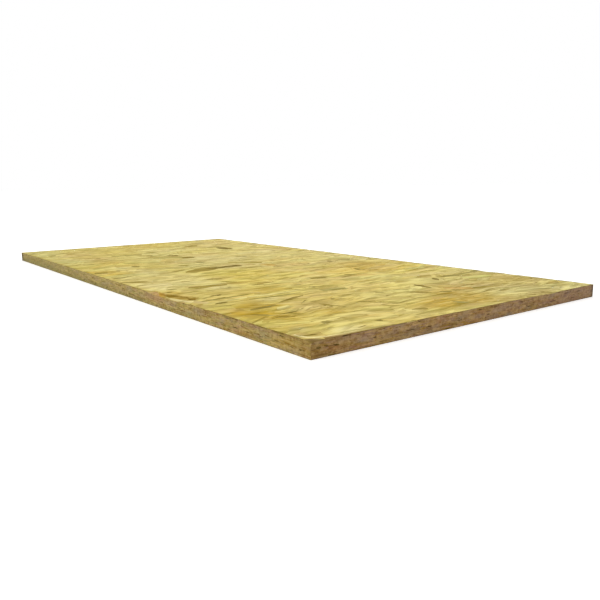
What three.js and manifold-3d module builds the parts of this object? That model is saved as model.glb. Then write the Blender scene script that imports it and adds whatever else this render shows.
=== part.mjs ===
// Oriented strand board: one pressed sheet of wood strands, sawn square on all four sides.
// Millimetres, +Z up. Origin: middle of the bottom face. +X along the length, +Y along the width.
import * as THREE from "three";
import { mergeVertices } from "three/addons/utils/BufferGeometryUtils.js";
import Module from "manifold-3d";

const wasm = await Module();
wasm.setup();

// Driving dimensions of the sheet
const PANEL_LENGTH = 1220;
const PANEL_WIDTH = 610;
const PANEL_THICKNESS = 22;
const STRAND_THICKNESS = 0.75; // one strand once it is pressed

// Gaps that the saw opens in an edge, each beside the end of a strand
const GAP_SPACING = 27; // along the edge, from one gap to the next
const GAP_SHORTEST = 5;
const GAP_LONGEST = 19;
const GAP_SHALLOWEST = 1.5; // into the sheet
const GAP_DEEPEST = 5;
const GAP_TO_CORNER = 24; // clear stretch beside each corner
const SKIN = 2; // tight outer strands above and below the gaps
const STRAND_LEAN = 25; // degrees that a strand lies off square, either way

// The knocked corner at +X, -Y: its top is crushed to a rounded bevel
const KNOCK_ALONG_LENGTH = 16;
const KNOCK_ALONG_WIDTH = 25;
const KNOCK_DROP = 2.5;

// The tear in the top arris of the -Y edge, where outer strands came away
const TEAR_FROM_CORNER = 278; // from the +X end to the near end of the tear
const TEAR_LENGTH = 156;
const TEAR_REACH = 38; // in from the edge, at its widest
const TEAR_LAYERS = 4; // strands lost at the arris, one fewer with each step in

// Small chips on the other top arrises
const CHIP_SPACING = 190;
const CHIP_LENGTH = 22;
const CHIP_REACH = 4;

const OVERRUN = 5; // how far a cut runs past the surface that it opens

const WOOD = new THREE.MeshStandardMaterial({ color: 0xcfbe73, roughness: 0.75, metalness: 0 });

// Even but unordered share from 0 to 1 of the counter k, by the golden ratio and its powers.
function share(k, power) {
  const golden = (Math.sqrt(5) - 1) / 2;
  return (k * golden ** power + power * golden) % 1;
}

// Value between low and high for the counter k.
function between(low, high, k, power) {
  return low + (high - low) * share(k, power);
}

// A closed geometry as a solid that can be cut.
function solid(geometry) {
  const bare = geometry.clone();
  bare.deleteAttribute("normal");
  bare.deleteAttribute("uv");
  const merged = mergeVertices(bare, 1e-4);
  return new wasm.Manifold(
    new wasm.Mesh({
      numProp: 3,
      vertProperties: new Float32Array(merged.attributes.position.array),
      triVerts: new Uint32Array(merged.index.array),
    }),
  );
}

// A solid back as a geometry.
function geometryOf(made) {
  const mesh = made.getMesh();
  const geometry = new THREE.BufferGeometry();
  geometry.setAttribute("position", new THREE.BufferAttribute(new Float32Array(mesh.vertProperties), 3));
  geometry.setIndex(new THREE.BufferAttribute(new Uint32Array(mesh.triVerts), 1));
  geometry.computeVertexNormals();
  return geometry;
}

// The sheet before any damage: its plan drawn as a rectangle and raised by the thickness.
function sheet() {
  const plan = new THREE.Shape();
  plan.moveTo(-PANEL_LENGTH / 2, -PANEL_WIDTH / 2);
  plan.lineTo(PANEL_LENGTH / 2, -PANEL_WIDTH / 2);
  plan.lineTo(PANEL_LENGTH / 2, PANEL_WIDTH / 2);
  plan.lineTo(-PANEL_LENGTH / 2, PANEL_WIDTH / 2);
  plan.closePath();
  return new THREE.ExtrudeGeometry(plan, { depth: PANEL_THICKNESS, bevelEnabled: false });
}

// Each edge of the sheet: its length, how far it lies from the middle, and the turn that brings
// a cut drawn on the -Y edge round to it.
const EDGES = [
  { run: PANEL_LENGTH, out: PANEL_WIDTH / 2, turn: 0 },
  { run: PANEL_WIDTH, out: PANEL_LENGTH / 2, turn: 90 },
  { run: PANEL_LENGTH, out: PANEL_WIDTH / 2, turn: 180 },
  { run: PANEL_WIDTH, out: PANEL_LENGTH / 2, turn: 270 },
];

// Moves a cut from the -Y side to its own edge.
function onEdge(geometry, edge) {
  return geometry.rotateZ(THREE.MathUtils.degToRad(edge.turn));
}

// Gap beside the end of a strand: as tall as the strand there, and closing to nothing where the
// strands above and below it meet again. Drawn on the -Y face and run inwards.
function gap(edge, along, height, length, tall, deep, lean) {
  const side = new THREE.Shape();
  side.moveTo(0, -tall / 2);
  side.quadraticCurveTo(length * 0.45, -tall / 2, length, 0);
  side.quadraticCurveTo(length * 0.45, tall / 2, 0, tall / 2);
  side.closePath();
  const cut = new THREE.ExtrudeGeometry(side, {
    depth: deep + OVERRUN,
    bevelEnabled: false,
    curveSegments: 3,
  });
  cut.rotateX(Math.PI / 2);
  cut.translate(-length / 2, deep, 0);
  cut.rotateZ(THREE.MathUtils.degToRad(lean));
  cut.translate(along, -edge.out, height);
  return onEdge(cut, edge);
}

// All the gaps of one edge, spread over its length and its thickness.
function edgeGaps(edge, seed) {
  const usable = edge.run - 2 * GAP_TO_CORNER;
  const count = Math.max(1, Math.floor(usable / GAP_SPACING));
  const low = SKIN;
  const high = PANEL_THICKNESS - SKIN;
  const cuts = [];
  for (let i = 0; i < count; i += 1) {
    const k = seed + i;
    const length = between(GAP_SHORTEST, GAP_LONGEST, k, 2);
    const along = -usable / 2 + ((i + share(k, 1)) * usable) / count;
    const tall = STRAND_THICKNESS * between(0.8, 2, k, 3);
    const deep = between(GAP_SHALLOWEST, GAP_DEEPEST, k, 4);
    const lean = between(-STRAND_LEAN, STRAND_LEAN, k, 5);
    const handed = i % 2 ? length : -length;
    const height = between(low, high, k, 1.5);
    const inside = THREE.MathUtils.clamp(
      along,
      -usable / 2 + length / 2,
      usable / 2 - length / 2,
    );
    cuts.push(gap(edge, inside, height, handed, tall, deep, lean));
  }
  return cuts;
}

// Place where strands came off the top arris: one step for each strand lost, the widest on top.
// The plan of a step is a slanted wedge, because strands split along their own grain.
function tear(edge, along, length, reach, layers) {
  const steps = [];
  for (let i = 0; i < layers; i += 1) {
    const left = 1 - i / layers;
    const plan = new THREE.Shape();
    plan.moveTo(-length / 2, -OVERRUN);
    plan.lineTo(-length / 2, 0);
    plan.lineTo(-length * 0.38, reach * left * 0.35);
    plan.lineTo(-length * 0.16, reach * left * 0.3);
    plan.lineTo(length * 0.24, reach * left);
    plan.lineTo(length * 0.3, reach * left * 0.72);
    plan.lineTo((length / 2) * (0.7 + 0.3 * left), 0);
    plan.lineTo((length / 2) * (0.7 + 0.3 * left), -OVERRUN);
    plan.closePath();
    const deep = STRAND_THICKNESS * (i + 1);
    const cut = new THREE.ExtrudeGeometry(plan, { depth: deep + OVERRUN, bevelEnabled: false });
    cut.translate(along, -edge.out, PANEL_THICKNESS - deep);
    steps.push(onEdge(cut, edge));
  }
  return steps;
}

// Small chips along the top arris of one edge, each one strand deep.
function edgeChips(edge, seed) {
  const usable = edge.run - 2 * GAP_TO_CORNER;
  const count = Math.floor(usable / CHIP_SPACING);
  const cuts = [];
  for (let i = 0; i < count; i += 1) {
    const k = seed + i;
    const length = CHIP_LENGTH * between(0.6, 1.3, k, 2);
    const along = -usable / 2 + length + ((i + share(k, 3)) * (usable - 2 * length)) / count;
    cuts.push(...tear(edge, along, length, CHIP_REACH * between(0.6, 1.4, k, 4), 1));
  }
  return cuts;
}

// The knocked corner: a rounded bevel drawn as a profile across the corner and run along its chord.
function knock() {
  const chord = Math.hypot(KNOCK_ALONG_LENGTH, KNOCK_ALONG_WIDTH);
  const toCorner = (KNOCK_ALONG_LENGTH * KNOCK_ALONG_WIDTH) / chord;
  const slope = (2 * KNOCK_DROP) / toCorner;
  const profile = new THREE.Shape();
  profile.moveTo(0, 0);
  profile.quadraticCurveTo(toCorner / 2, 0, toCorner, -KNOCK_DROP);
  profile.lineTo(toCorner + OVERRUN, -KNOCK_DROP - slope * OVERRUN);
  profile.lineTo(toCorner + OVERRUN, OVERRUN);
  profile.lineTo(0, OVERRUN);
  profile.closePath();
  const cut = new THREE.ExtrudeGeometry(profile, {
    depth: 3 * chord,
    bevelEnabled: false,
    curveSegments: 6,
  });
  cut.rotateX(Math.PI / 2);
  cut.translate(0, 1.5 * chord, 0);
  cut.rotateZ(-Math.atan2(KNOCK_ALONG_LENGTH, KNOCK_ALONG_WIDTH));
  cut.translate(
    PANEL_LENGTH / 2 - KNOCK_ALONG_LENGTH,
    -PANEL_WIDTH / 2,
    PANEL_THICKNESS,
  );
  return cut;
}

// The finished sheet: every gap, chip and tear cut out of it.
function panel() {
  const cuts = [knock()];
  EDGES.forEach((edge, i) => {
    cuts.push(...edgeGaps(edge, 100 * i));
    if (i > 0) cuts.push(...edgeChips(edge, 100 * i));
  });
  const tearMiddle = PANEL_LENGTH / 2 - TEAR_FROM_CORNER - TEAR_LENGTH / 2;
  cuts.push(...tear(EDGES[0], tearMiddle, TEAR_LENGTH, TEAR_REACH, TEAR_LAYERS));
  const board = cuts.reduce((left, cut) => left.subtract(solid(cut)), solid(sheet()));
  const mesh = new THREE.Mesh(geometryOf(board), WOOD);
  mesh.name = "osb_panel";
  return mesh;
}

const object = new THREE.Group();
object.add(panel());

export default object;
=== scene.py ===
# %% [markdown]
# # A panel of oriented strand board
# Strand board is made of thin wood strands, mostly 50 to 150 mm long and under 1 mm thick, coated with
# resin and wax and pressed hot into a flat sheet. Its faces show the strands that happened to lie on top,
# and its sawn edges show all the others cut through. The sheet's size comes from the frame.

# %% Load the frame and read the panel's size
import math

import bpy
import numpy as np
from mathutils import Matrix, Vector
from mathutils.geometry import delaunay_2d_cdt


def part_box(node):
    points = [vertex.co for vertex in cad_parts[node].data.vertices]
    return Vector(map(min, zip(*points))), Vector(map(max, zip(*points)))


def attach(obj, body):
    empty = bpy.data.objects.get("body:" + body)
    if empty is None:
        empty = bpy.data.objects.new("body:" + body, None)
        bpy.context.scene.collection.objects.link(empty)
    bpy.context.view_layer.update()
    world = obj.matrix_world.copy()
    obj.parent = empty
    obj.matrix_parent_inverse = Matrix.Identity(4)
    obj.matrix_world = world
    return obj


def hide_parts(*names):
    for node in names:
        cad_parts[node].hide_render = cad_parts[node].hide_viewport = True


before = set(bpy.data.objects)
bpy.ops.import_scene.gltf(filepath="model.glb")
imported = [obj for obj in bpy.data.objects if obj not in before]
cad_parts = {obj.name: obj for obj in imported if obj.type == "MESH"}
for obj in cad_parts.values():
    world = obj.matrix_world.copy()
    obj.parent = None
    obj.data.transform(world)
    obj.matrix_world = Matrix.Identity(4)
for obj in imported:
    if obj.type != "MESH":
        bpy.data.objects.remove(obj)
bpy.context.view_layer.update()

MM = 0.001
box_low, box_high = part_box("osb_panel")
LENGTH, WIDTH, THICKNESS = ((b - a) / MM for a, b in zip(box_low, box_high))
HALF = np.array([LENGTH, WIDTH]) / 2
rng = np.random.default_rng(22)
print(f"panel {LENGTH:.0f} x {WIDTH:.0f} x {THICKNESS:.0f} mm")

# %% [markdown]
# ## The camera
# The board fills the view from corner to corner, so a shift of a few degrees would change its whole
# outline. The camera therefore comes first. It stands low beside the near corner, and its place is given
# from that corner.

# %% Camera
IMAGE_SIDE = 600  # pixels
FOCAL_PIXELS = 617.85  # focal length, in pixels of that image
MIDDLE_COLUMN = 281.8  # column of the image that the lens axis meets
SENSOR_MM = 36.0
CAMERA_FROM_CORNER = (512.8, -416.0, 169.9)  # mm from the near top corner, +X -Y
CAMERA_YAW, CAMERA_PITCH, CAMERA_ROLL = (math.radians(a) for a in (36.344, -10.605, -0.670))


def camera_axes(yaw, pitch, roll):
    """Right, up and back directions. Forward is turned by yaw from -X towards +Y and tipped by pitch, and
    right and up are then rolled about it."""
    forward = Vector((-math.cos(yaw) * math.cos(pitch), math.sin(yaw) * math.cos(pitch), math.sin(pitch)))
    level = forward.cross(Vector((0, 0, 1))).normalized()
    upright = level.cross(forward)
    right = level * math.cos(roll) + upright * math.sin(roll)
    return right, right.cross(forward), -forward


camera_data = bpy.data.cameras.new("camera")
camera_data.sensor_width = SENSOR_MM
camera_data.lens = FOCAL_PIXELS * SENSOR_MM / IMAGE_SIDE
camera_data.shift_x = 0.5 - MIDDLE_COLUMN / IMAGE_SIDE
camera_data.clip_start = 0.01  # m
camera = bpy.data.objects.new("camera", camera_data)
near_corner = Vector((LENGTH / 2, -WIDTH / 2, THICKNESS))
right, up, back = camera_axes(CAMERA_YAW, CAMERA_PITCH, CAMERA_ROLL)
turn = Matrix((right, up, back)).transposed().to_4x4()
camera.matrix_world = Matrix.Translation((near_corner + Vector(CAMERA_FROM_CORNER)) * MM) @ turn
bpy.context.scene.collection.objects.link(camera)
bpy.context.scene.camera = camera
print(f"camera lens {camera_data.lens:.2f} mm, {camera.location.z / MM:.0f} mm above the floor")

# %% [markdown]
# ## Strand outlines
# A strand is a long thin strip. Its sides follow the grain, so they bow and narrow a little, and its ends
# are broken or cut at a slant. All outlines are worked out at once, as one array of strands by corners by
# two.

# %% Outlines of many strands
END_SLANTS = np.array([-0.45, 0.4])  # where the two corners of an end lie across
NARROWING, SLANT = 0.1, 0.04  # spreads: of the taper, and of the ends' slant
WOBBLE = 0.4  # spread of a side's corners, as a share of that of its bow
NEAR_END = 0.9  # half lengths from the middle: corners past it move along with their end


def strand_loops(strands, stops, bowed, ragged):
    """Corner points in mm, (strands, corners, 2). In strand terms t runs along from -1 to 1 and s across
    from -1 to 1. A side is s = side (1 + narrowing t) (1 - pinched t squared) + bow (1 - t squared) plus a
    wobble, with a corner at each stop. Corners near an end lie at t + splinter + slant side. The strip is
    then scaled by its half length and half width, turned by its angle and moved to its middle."""
    middle, angle = strands["middle"], strands["angle"]
    half_long, half_wide, pinched = (strands[key][:, None] for key in ("half_long", "half_wide", "pinched"))
    count = len(middle)
    stops = np.asarray(stops)
    t = np.concatenate([stops, [1, 1], stops[::-1], [-1, -1]])
    ones = np.ones(len(stops))
    side = np.concatenate([-ones, END_SLANTS, ones, END_SLANTS[::-1]])
    at_end = np.abs(t) > NEAR_END
    narrowing = rng.normal(0, NARROWING, (count, 1))
    bow = rng.normal(0, bowed, (count, 1))
    slant = rng.normal(0, SLANT, (count, 1))
    s = side * (1 + narrowing * t) * (1 - pinched * t**2) + bow * (1 - t**2)
    s += rng.normal(0, WOBBLE * bowed, (count, len(t)))
    splinter = rng.normal(0, ragged, (count, len(t))) * at_end
    along = (t + splinter + slant * side * at_end) * half_long
    across = s * half_wide
    cos, sin = np.cos(angle)[:, None], np.sin(angle)[:, None]
    x = middle[:, :1] + along * cos - across * sin
    y = middle[:, 1:] + along * sin + across * cos
    return np.stack([x, y], -1)


EVEN_STEPS = (0.7548776662, 0.5698402910)  # one over the plastic ratio, and its square


def even_places(count, low, high, wander):
    """Places spread evenly over a rectangle: multiples of two irrational steps, taken modulo 1, plus a
    random part."""
    steps = np.outer(np.arange(1, count + 1), EVEN_STEPS)
    spread = (steps + rng.uniform(0, 1, 2)) % 1
    return low + spread * (high - low) + rng.normal(0, wander, (count, 2))


# %% [markdown]
# ## One visible surface from many overlapping strands
# Only the strand on top shows at any spot. Stacking a thousand thin slabs would hide most of their faces
# and leave them flickering where they touch. Blender's constrained triangulation draws every outline into
# one flat drawing instead, and says for each triangle which outlines hold it. The last of them is the
# strand on top. Each strand's corners are then lifted to its own height, and small upright walls close the
# steps between neighbours.

# %% Flat drawing of overlapping outlines
ONLY_INSIDE = 1  # keeps the triangles that lie in an outline
MERGED = 1e-4  # mm, points closer than this become one


def drawing(cells, region, loose, loops):
    """Triangulates the outlines, which all run anticlockwise. cells cut the surface into map tiles, region
    is the surface's own outline, and loops are the strands, with later ones on top. Returns points,
    triangles, each one's cell, and the strand that shows, or -1."""
    outlines = [np.asarray(c, float) for c in [*cells, region, *loops]]
    sizes = np.array([len(o) for o in outlines])
    ends = np.cumsum(sizes)
    polygons = [list(range(b - n, b)) for n, b in zip(sizes, ends)]
    flat = np.concatenate([*outlines, loose])
    points, _, triangles, _, _, inside = delaunay_2d_cdt(
        [Vector(p) for p in flat.tolist()], [], polygons, ONLY_INSIDE, MERGED, True
    )
    points = np.array([p[:] for p in points])
    triangles = np.array([t for t, i in zip(triangles, inside) if i])
    held = np.array([len(i) for i in inside if i])
    owner = np.repeat(np.arange(len(triangles)), held)
    outline = np.concatenate([np.array(i, int) for i in inside if i])
    order = np.lexsort((outline, owner))
    owner, outline = owner[order], outline[order]
    last = np.cumsum(held) - 1
    within = np.bincount(owner, outline == len(cells), len(triangles)) > 0
    top = np.maximum(outline[last] - len(cells) - 1, -1)
    cell = outline[last + 1 - held]
    kept = within & (cell < len(cells))
    return points, triangles[kept], cell[kept], top[kept]


# %% Corners that belong to one strand each
def split_by_strand(points, triangles, top):
    """Gives each strand its own copy of every corner it uses. Returns the copies' flat places, their source
    points, their strands, and the triangles in terms of the copies."""
    span = top.max() + 2
    key = triangles * span + (top + 1)[:, None]
    found, new = np.unique(key, return_inverse=True)
    source, strand = found // span, found % span - 1
    return points[source], source, strand, new.reshape(-1, 3)


def shared_sides(corners, source):
    """Sides of the drawing that two triangles share: the places of both in the flat list of all corners."""
    a, b = corners.ravel(), np.roll(corners, -1, 1).ravel()
    low, high = np.minimum(source[a], source[b]), np.maximum(source[a], source[b])
    key = low.astype(np.int64) * (source.max() + 1) + high
    order = np.argsort(key, kind="stable")
    same = np.flatnonzero(key[order][1:] == key[order][:-1])
    return a, b, order[same], order[same + 1]


def step_walls(corners, source, strand, cell):
    """Sides between two strands, as the corners a and b of one triangle and b and a of the other, and their
    cells."""
    a, b, one, two = shared_sides(corners, source)
    apart = strand[a[one]] != strand[a[two]]
    return np.stack([a[one], b[one], b[two], a[two]], 1)[apart], cell[one[apart] // 3]


# %% [markdown]
# ## Heights of a pressed face
# The press squeezes the top strands level with the plate. A strand that dives under another bends down by
# up to half the other's thickness, over some 10 mm. So a strand's corners under a neighbour's edge are
# pinned a step below the plate, and the rest of the strand relaxes between them like a thin springy skin.

# %% Relax a strand's surface
STRAND_THICKNESS = 0.75  # mm
RELAX_ROUNDS = 30  # how often every height moves towards its neighbours'
SPRING_BACK = 0.12  # how fast a bend dies out, for each corner passed
SHORTEST_SIDE = 0.2  # mm, shorter sides pull no harder than this one


def relaxed(height, pinned, corners, places):
    """Each free corner's height becomes the mean of its neighbours', weighted by one over their distance
    and pulled back towards the plate, again and again. Pinned corners keep theirs."""
    a, b = corners.ravel(), np.roll(corners, -1, 1).ravel()
    weight = 1 / np.maximum(np.linalg.norm(places[a] - places[b], axis=1), SHORTEST_SIDE)
    total = np.bincount(a, weight, len(height)) + np.bincount(b, weight, len(height))
    for _ in range(RELAX_ROUNDS):
        pull = np.bincount(a, weight * height[b], len(height))
        pull += np.bincount(b, weight * height[a], len(height))
        height = np.where(pinned, height, (1 - SPRING_BACK) * pull / total)
    return height


# %% Close the steps between strands
def wall_faces(walls, source, height):
    """One upright face for each side between two strands, from the corners of one to those of the other.
    Where a third strand's corner lies between them it is put in too, so that the walls meet without a
    slit."""
    order = np.lexsort((height, source))
    place = np.empty(len(order), int)
    place[order] = np.arange(len(order))
    faces = []
    for a_one, b_one, b_two, a_two in walls.tolist():
        near_one, near_two, far_two, far_one = place[a_one], place[b_two], place[a_two], place[b_one]
        down = order[near_one:near_two + 1] if near_one <= near_two else order[near_two:near_one + 1][::-1]
        up = order[far_two:far_one + 1] if far_two <= far_one else order[far_one:far_two + 1][::-1]
        faces.append([b_one, *down.tolist(), *up.tolist()[:-1]])
    return faces


print(f"helpers for strands {STRAND_THICKNESS} mm thick are ready")

# %% [markdown]
# ## Colours
# Colours are written as sRGB hex values, as a paint card gives them, and turned to the linear values that
# light adds up in. Strands from the same log fall together, so their colours also drift over the board in
# soft zones.

# %% Colours of the strands
def linear(hex_colour):
    """sRGB hex to linear: c / 12.92 below 0.04045, and ((c + 0.055) / 1.055) to the power 2.4 above."""
    srgb = np.array([int(hex_colour[i:i + 2], 16) for i in (1, 3, 5)]) / 255
    return np.where(srgb <= 0.04045, srgb / 12.92, ((srgb + 0.055) / 1.055) ** 2.4)


FACE_COLOURS = {
    "straw": ("#dcca66", 0.36),
    "pale_sapwood": ("#e6d678", 0.22),
    "green_grey": ("#d0c76c", 0.12),
    "pink_tan": ("#dcc272", 0.12),
    "honey": ("#dabb4e", 0.11),
    "resin_brown": ("#c9a646", 0.04),
    "heartwood": ("#caaa5a", 0.03),
}
LONG_EDGE_COLOURS = {
    "tan_gold": ("#bba35c", 0.34),
    "sawn_straw": ("#c7ae6c", 0.2),
    "pink_tan": ("#b6986c", 0.16),
    "olive_tan": ("#a49856", 0.16),
    "resin_brown": ("#957536", 0.12),
    "dark_bark": ("#775c2c", 0.02),
}
SHORT_EDGE_COLOURS = {
    "red_tan": ("#ba9762", 0.34),
    "sawn_straw": ("#c9a470", 0.18),
    "brown": ("#a27e4c", 0.2),
    "mauve_brown": ("#ad8a6e", 0.14),
    "gold_brown": ("#ae8840", 0.12),
    "dark_bark": ("#6e5030", 0.02),
}
DEEP_SHADOW = linear("#7d692f")  # where no strand lies on a face
EDGE_SHADOW = linear("#665028")  # in the gaps of an edge
TINT_RANGE = (0.8, 1.2)  # how much darker or lighter one strand can be
DRIFT_WANDER, DRIFT_SIZES, DRIFT_TINTS = 0.2, 0.3, 0.08  # spreads: of the places, the reach and the colours


def strand_tints(colours, count, spread):
    """A colour for each strand, drawn by the shares above, and made lighter or darker by the spread."""
    shares = np.array([part for _, part in colours.values()])
    paint = np.array([linear(colour) for colour, _ in colours.values()])
    chosen = paint[rng.choice(len(paint), count, p=shares / shares.sum())]
    return chosen * rng.normal(1, spread, (count, 1)).clip(*TINT_RANGE)


def drifts(count, half, reach, colours, strength):
    """Soft zones spread over a surface, each as its middle, its reach both ways in mm, its colour and
    strength."""
    middle = even_places(count, -half, half, DRIFT_WANDER * reach[1])
    reaches = np.array(reach) * np.exp(rng.normal(0, DRIFT_SIZES, (count, 2)))
    even = {name: (colour, 1) for name, colour in colours.items()}
    return list(zip(middle, reaches, strand_tints(even, count, DRIFT_TINTS), np.full(count, strength)))


def placed_zones(zones, colours):
    """The same from zones listed under their colours: x, y, reach along x and y, strength."""
    listed = [(linear(colours[name]), *zone) for name, marks in zones.items() for zone in marks]
    return [
        (np.array([x, y]), np.array(reach), colour, strength)
        for colour, x, y, *reach, strength in listed
    ]


def zoned(tint, places, zones):
    """The tints of places after all zones: a zone takes its strength times exp(-d squared) of a tint, where
    d is the distance to the zone's middle, in units of its reach."""
    for middle, reach, colour, strength in zones:
        near = (((places - middle) / reach) ** 2).sum(1)
        taken = strength * np.exp(-near)[:, None]
        tint = tint * (1 - taken) + colour * taken
    return tint


print(f"{len(FACE_COLOURS)} face colours, {len(LONG_EDGE_COLOURS) + len(SHORT_EDGE_COLOURS)} edge colours")

# %% [markdown]
# ## From faces to a mesh object
# Each corner carries a few values besides its place: its strand's colour, and where it lies on the strand.
# The materials read them as attributes. The map places are kept too, because the export bakes the colours
# there.

# %% Write one mesh object
CREASE = math.radians(32)  # sharper bends between faces stay sharp


def border_edges(faces):
    """Directed edges that only one face has, for faces of any number of corners."""
    sizes = np.array([len(f) for f in faces])
    here = np.concatenate(faces)
    after = np.arange(1, len(here) + 1)
    ends = np.cumsum(sizes)
    after[ends - 1] = ends - sizes
    following = here[after]
    key = np.minimum(here, following).astype(np.int64) * (here.max() + 1) + np.maximum(here, following)
    _, which, count = np.unique(key, return_inverse=True, return_counts=True)
    lone = count[which] == 1
    return here[lone], following[lone]


def of_one_strand(faces, number):
    """For each corner of each face, the corner whose grain it takes. A wall between two strands takes the
    grain of its first corner, since the grain jumps from one strand to the next. number tells the strands
    apart."""
    here = np.concatenate(faces)
    sizes = np.array([len(f) for f in faces])
    starts = np.cumsum(sizes) - sizes
    first = np.repeat(here[starts], sizes)
    mixed = np.logical_or.reduceat(number[here] != number[first], starts)
    return np.where(np.repeat(mixed, sizes), first, here)


def write_piece(name, places, faces, uv, values, material):
    """Makes one mesh object from corner places in mm, faces, a flat list of map places for the faces'
    corners, and named values for each corner. Tint and depth blend over a wall, and the places on a strand
    don't."""
    mesh = bpy.data.meshes.new(name)
    mesh.from_pydata((places * MM).tolist(), [], faces)
    layer = mesh.uv_layers.new(name="OFBake")
    layer.uv.foreach_set("vector", np.asarray(uv, np.float32).ravel())
    grain_from = of_one_strand(faces, values["grain"][:, 2])
    for label, value in values.items():
        kind = "FLOAT_VECTOR" if value.ndim == 2 else "FLOAT"
        field = "vector" if value.ndim == 2 else "value"
        domain = "POINT"
        if label in ("grain", "within"):
            domain = "CORNER"
            value = value[grain_from]
        mesh.attributes.new(label, kind, domain).data.foreach_set(field, value.astype(np.float32).ravel())
    mesh.shade_smooth()
    mesh.set_sharp_from_angle(angle=CREASE)
    mesh.materials.append(material)
    piece = bpy.data.objects.new(name, mesh)
    bpy.context.scene.collection.objects.link(piece)
    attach(piece, "root")
    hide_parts("osb_panel")
    print(f"{name}: {len(faces)} faces, {sum(len(f) - 2 for f in faces)} triangles")
    return piece


# %% [markdown]
# ## Each piece is a closed slab
# The panel is drawn as eight broad strips, four on each face, and four sawn edges. Each is closed at the
# back by mitred walls and a flat inner side, so every piece is a solid of its own, and all of them fit
# together.

# %% Turn part of a surface into a closed slab
FACE_MITRE = np.array([8.0, 8.0, 4.2])  # mm that a face's slab reaches in from the sides, and down
EDGE_MITRE = np.array([8.0, 4.2, 8.0])  # the same for an edge, so that the two meet


def slab(surface, chosen, to_world, name, material):
    """Cuts the chosen faces out of a surface and closes them at the back: each border corner gets a partner
    that lies further in by the mitre, and a fan of triangles from the middle joins the partners."""
    faces = [surface["faces"][i] for i in chosen]
    cells = surface["cell"][chosen]
    used, local = np.unique(np.concatenate(faces), return_inverse=True)
    faces = [f.tolist() for f in np.split(local, np.cumsum([len(f) for f in faces])[:-1])]
    places = surface["corners"][used]
    source = surface["source"][used]
    values = {k: v[used] for k, v in surface["values"].items()}
    start, end = border_edges(faces)
    rim, rim_from = np.unique(source[np.concatenate([start, end])], return_index=True)
    rim_from = np.concatenate([start, end])[rim_from]
    mitre, half = surface["mitre"], surface["half"]
    behind = places[rim_from].copy()
    behind[:, :2] = behind[:, :2].clip(mitre[:2] - half, half - mitre[:2])
    behind[:, 2] = -mitre[2]
    hub = len(places) + len(rim)
    back_of = len(places) + np.searchsorted(rim, source)
    tiles = surface["tiles"]
    uv = [tiles(places[f, :2], c) for f, c in zip(faces, cells.tolist())]
    cell_of = np.zeros(len(places), int)
    cell_of[np.concatenate(faces)] = np.repeat(cells, [len(f) for f in faces])
    for p, q in zip(start.tolist(), end.tolist()):
        at_p = tiles(places[[p], :2], cell_of[p])
        if source[p] == source[q]:
            faces.append([q, p, int(back_of[p])])
            uv.append(at_p[[0] * 3])
        else:
            faces.append([q, p, int(back_of[p]), int(back_of[q])])
            faces.append([int(back_of[q]), int(back_of[p]), hub])
            uv.append(at_p[[0] * 7])
    middle = np.append(behind[:, :2].mean(0), -mitre[2])
    places = np.concatenate([places, behind, middle[None]])
    values = {k: np.concatenate([v, v[rim_from], v[:1]]) for k, v in values.items()}
    return write_piece(name, to_world(places), faces, np.concatenate(uv), values, material)


# %% Lay a piece's tiles on its map
TILE_MARGIN, SIDE_MARGIN = 0.01, 0.002  # of a tile's height and width, left free around it


def tile_map(half, columns, rows):
    """Gives a function from places and a cell to the piece's map: a row's cells lie one above the other
    there."""
    size = 2 * half / [columns, rows]

    def tiles(places, cell):
        column, row = cell % columns, cell // columns
        unit = (places + half - size * [column, row]) / size
        along = SIDE_MARGIN + (1 - 2 * SIDE_MARGIN) * unit[:, 0]
        inside = TILE_MARGIN + (1 - 2 * TILE_MARGIN) * unit[:, 1]
        return np.column_stack([along, (column + inside) / columns])

    return tiles


def grid_cells(half, columns, rows, spare=0.0):
    """Rectangles that tile the surface, row by row, each as four corners anticlockwise. spare makes the
    rows reach past the surface."""
    x = np.linspace(-half[0], half[0], columns + 1)
    y = np.linspace(-half[1] - spare, half[1] + spare, rows + 1)
    return [
        np.array([[x[i], y[j]], [x[i + 1], y[j]], [x[i + 1], y[j + 1]], [x[i], y[j + 1]]])
        for j in range(rows)
        for i in range(columns)
    ]


print(f"slabs reach {FACE_MITRE[2]} mm down from the faces and {EDGE_MITRE[2]} mm in from the edges")

# %% [markdown]
# ## The strands of a face
# Strands on the faces lie mostly across the panel, within some 30 degrees. A bed of broad ones lies a
# little deeper and fills the spots that the others leave bare. Thin hollows, where a splinter is missing,
# come on top of them.

# %% Strands of a face
BED_STRANDS, FACE_STRANDS, HOLLOWS = 480, 1500, 90
STRAND_LONG = (96, 27)  # mm, mean and spread
STRAND_WIDE = (21, 0.42)  # mm, middle value and spread of its logarithm
BED_WIDE = (40, 0.2)  # the same, for the bed
HOLLOW_LONG, HOLLOW_WIDE = (34, 13), (3.4, 0.35)  # the same, for the hollows
STRAND_LEAN = math.radians(21)  # spread of the strands' angles
LONG_RANGE, WIDE_RANGE = np.array([0.4, 1.7]), np.array([0.3, 2.6])  # shortest and longest, in middle values
BEYOND = np.array([40, 60])  # mm past the faces' sides at which strands may still have their middle
WANDER = 8  # mm, spread of a strand's place
TINT_SPREAD = 0.05  # spread of how light a strand is


def scattered(count, long, wide, pinched):
    """Middle, angle, half length, half width and pinch of strips spread evenly over a face, mostly across
    it."""
    return {
        "middle": even_places(count, -HALF - BEYOND, HALF + BEYOND, WANDER),
        "angle": math.pi / 2 + rng.normal(0, STRAND_LEAN, count),
        "half_long": rng.normal(*long, count).clip(*LONG_RANGE * long[0]) / 2,
        "half_wide": (wide[0] * np.exp(rng.normal(0, wide[1], count))).clip(*WIDE_RANGE * wide[0]) / 2,
        "pinched": rng.uniform(*pinched, count),
    }


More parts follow.
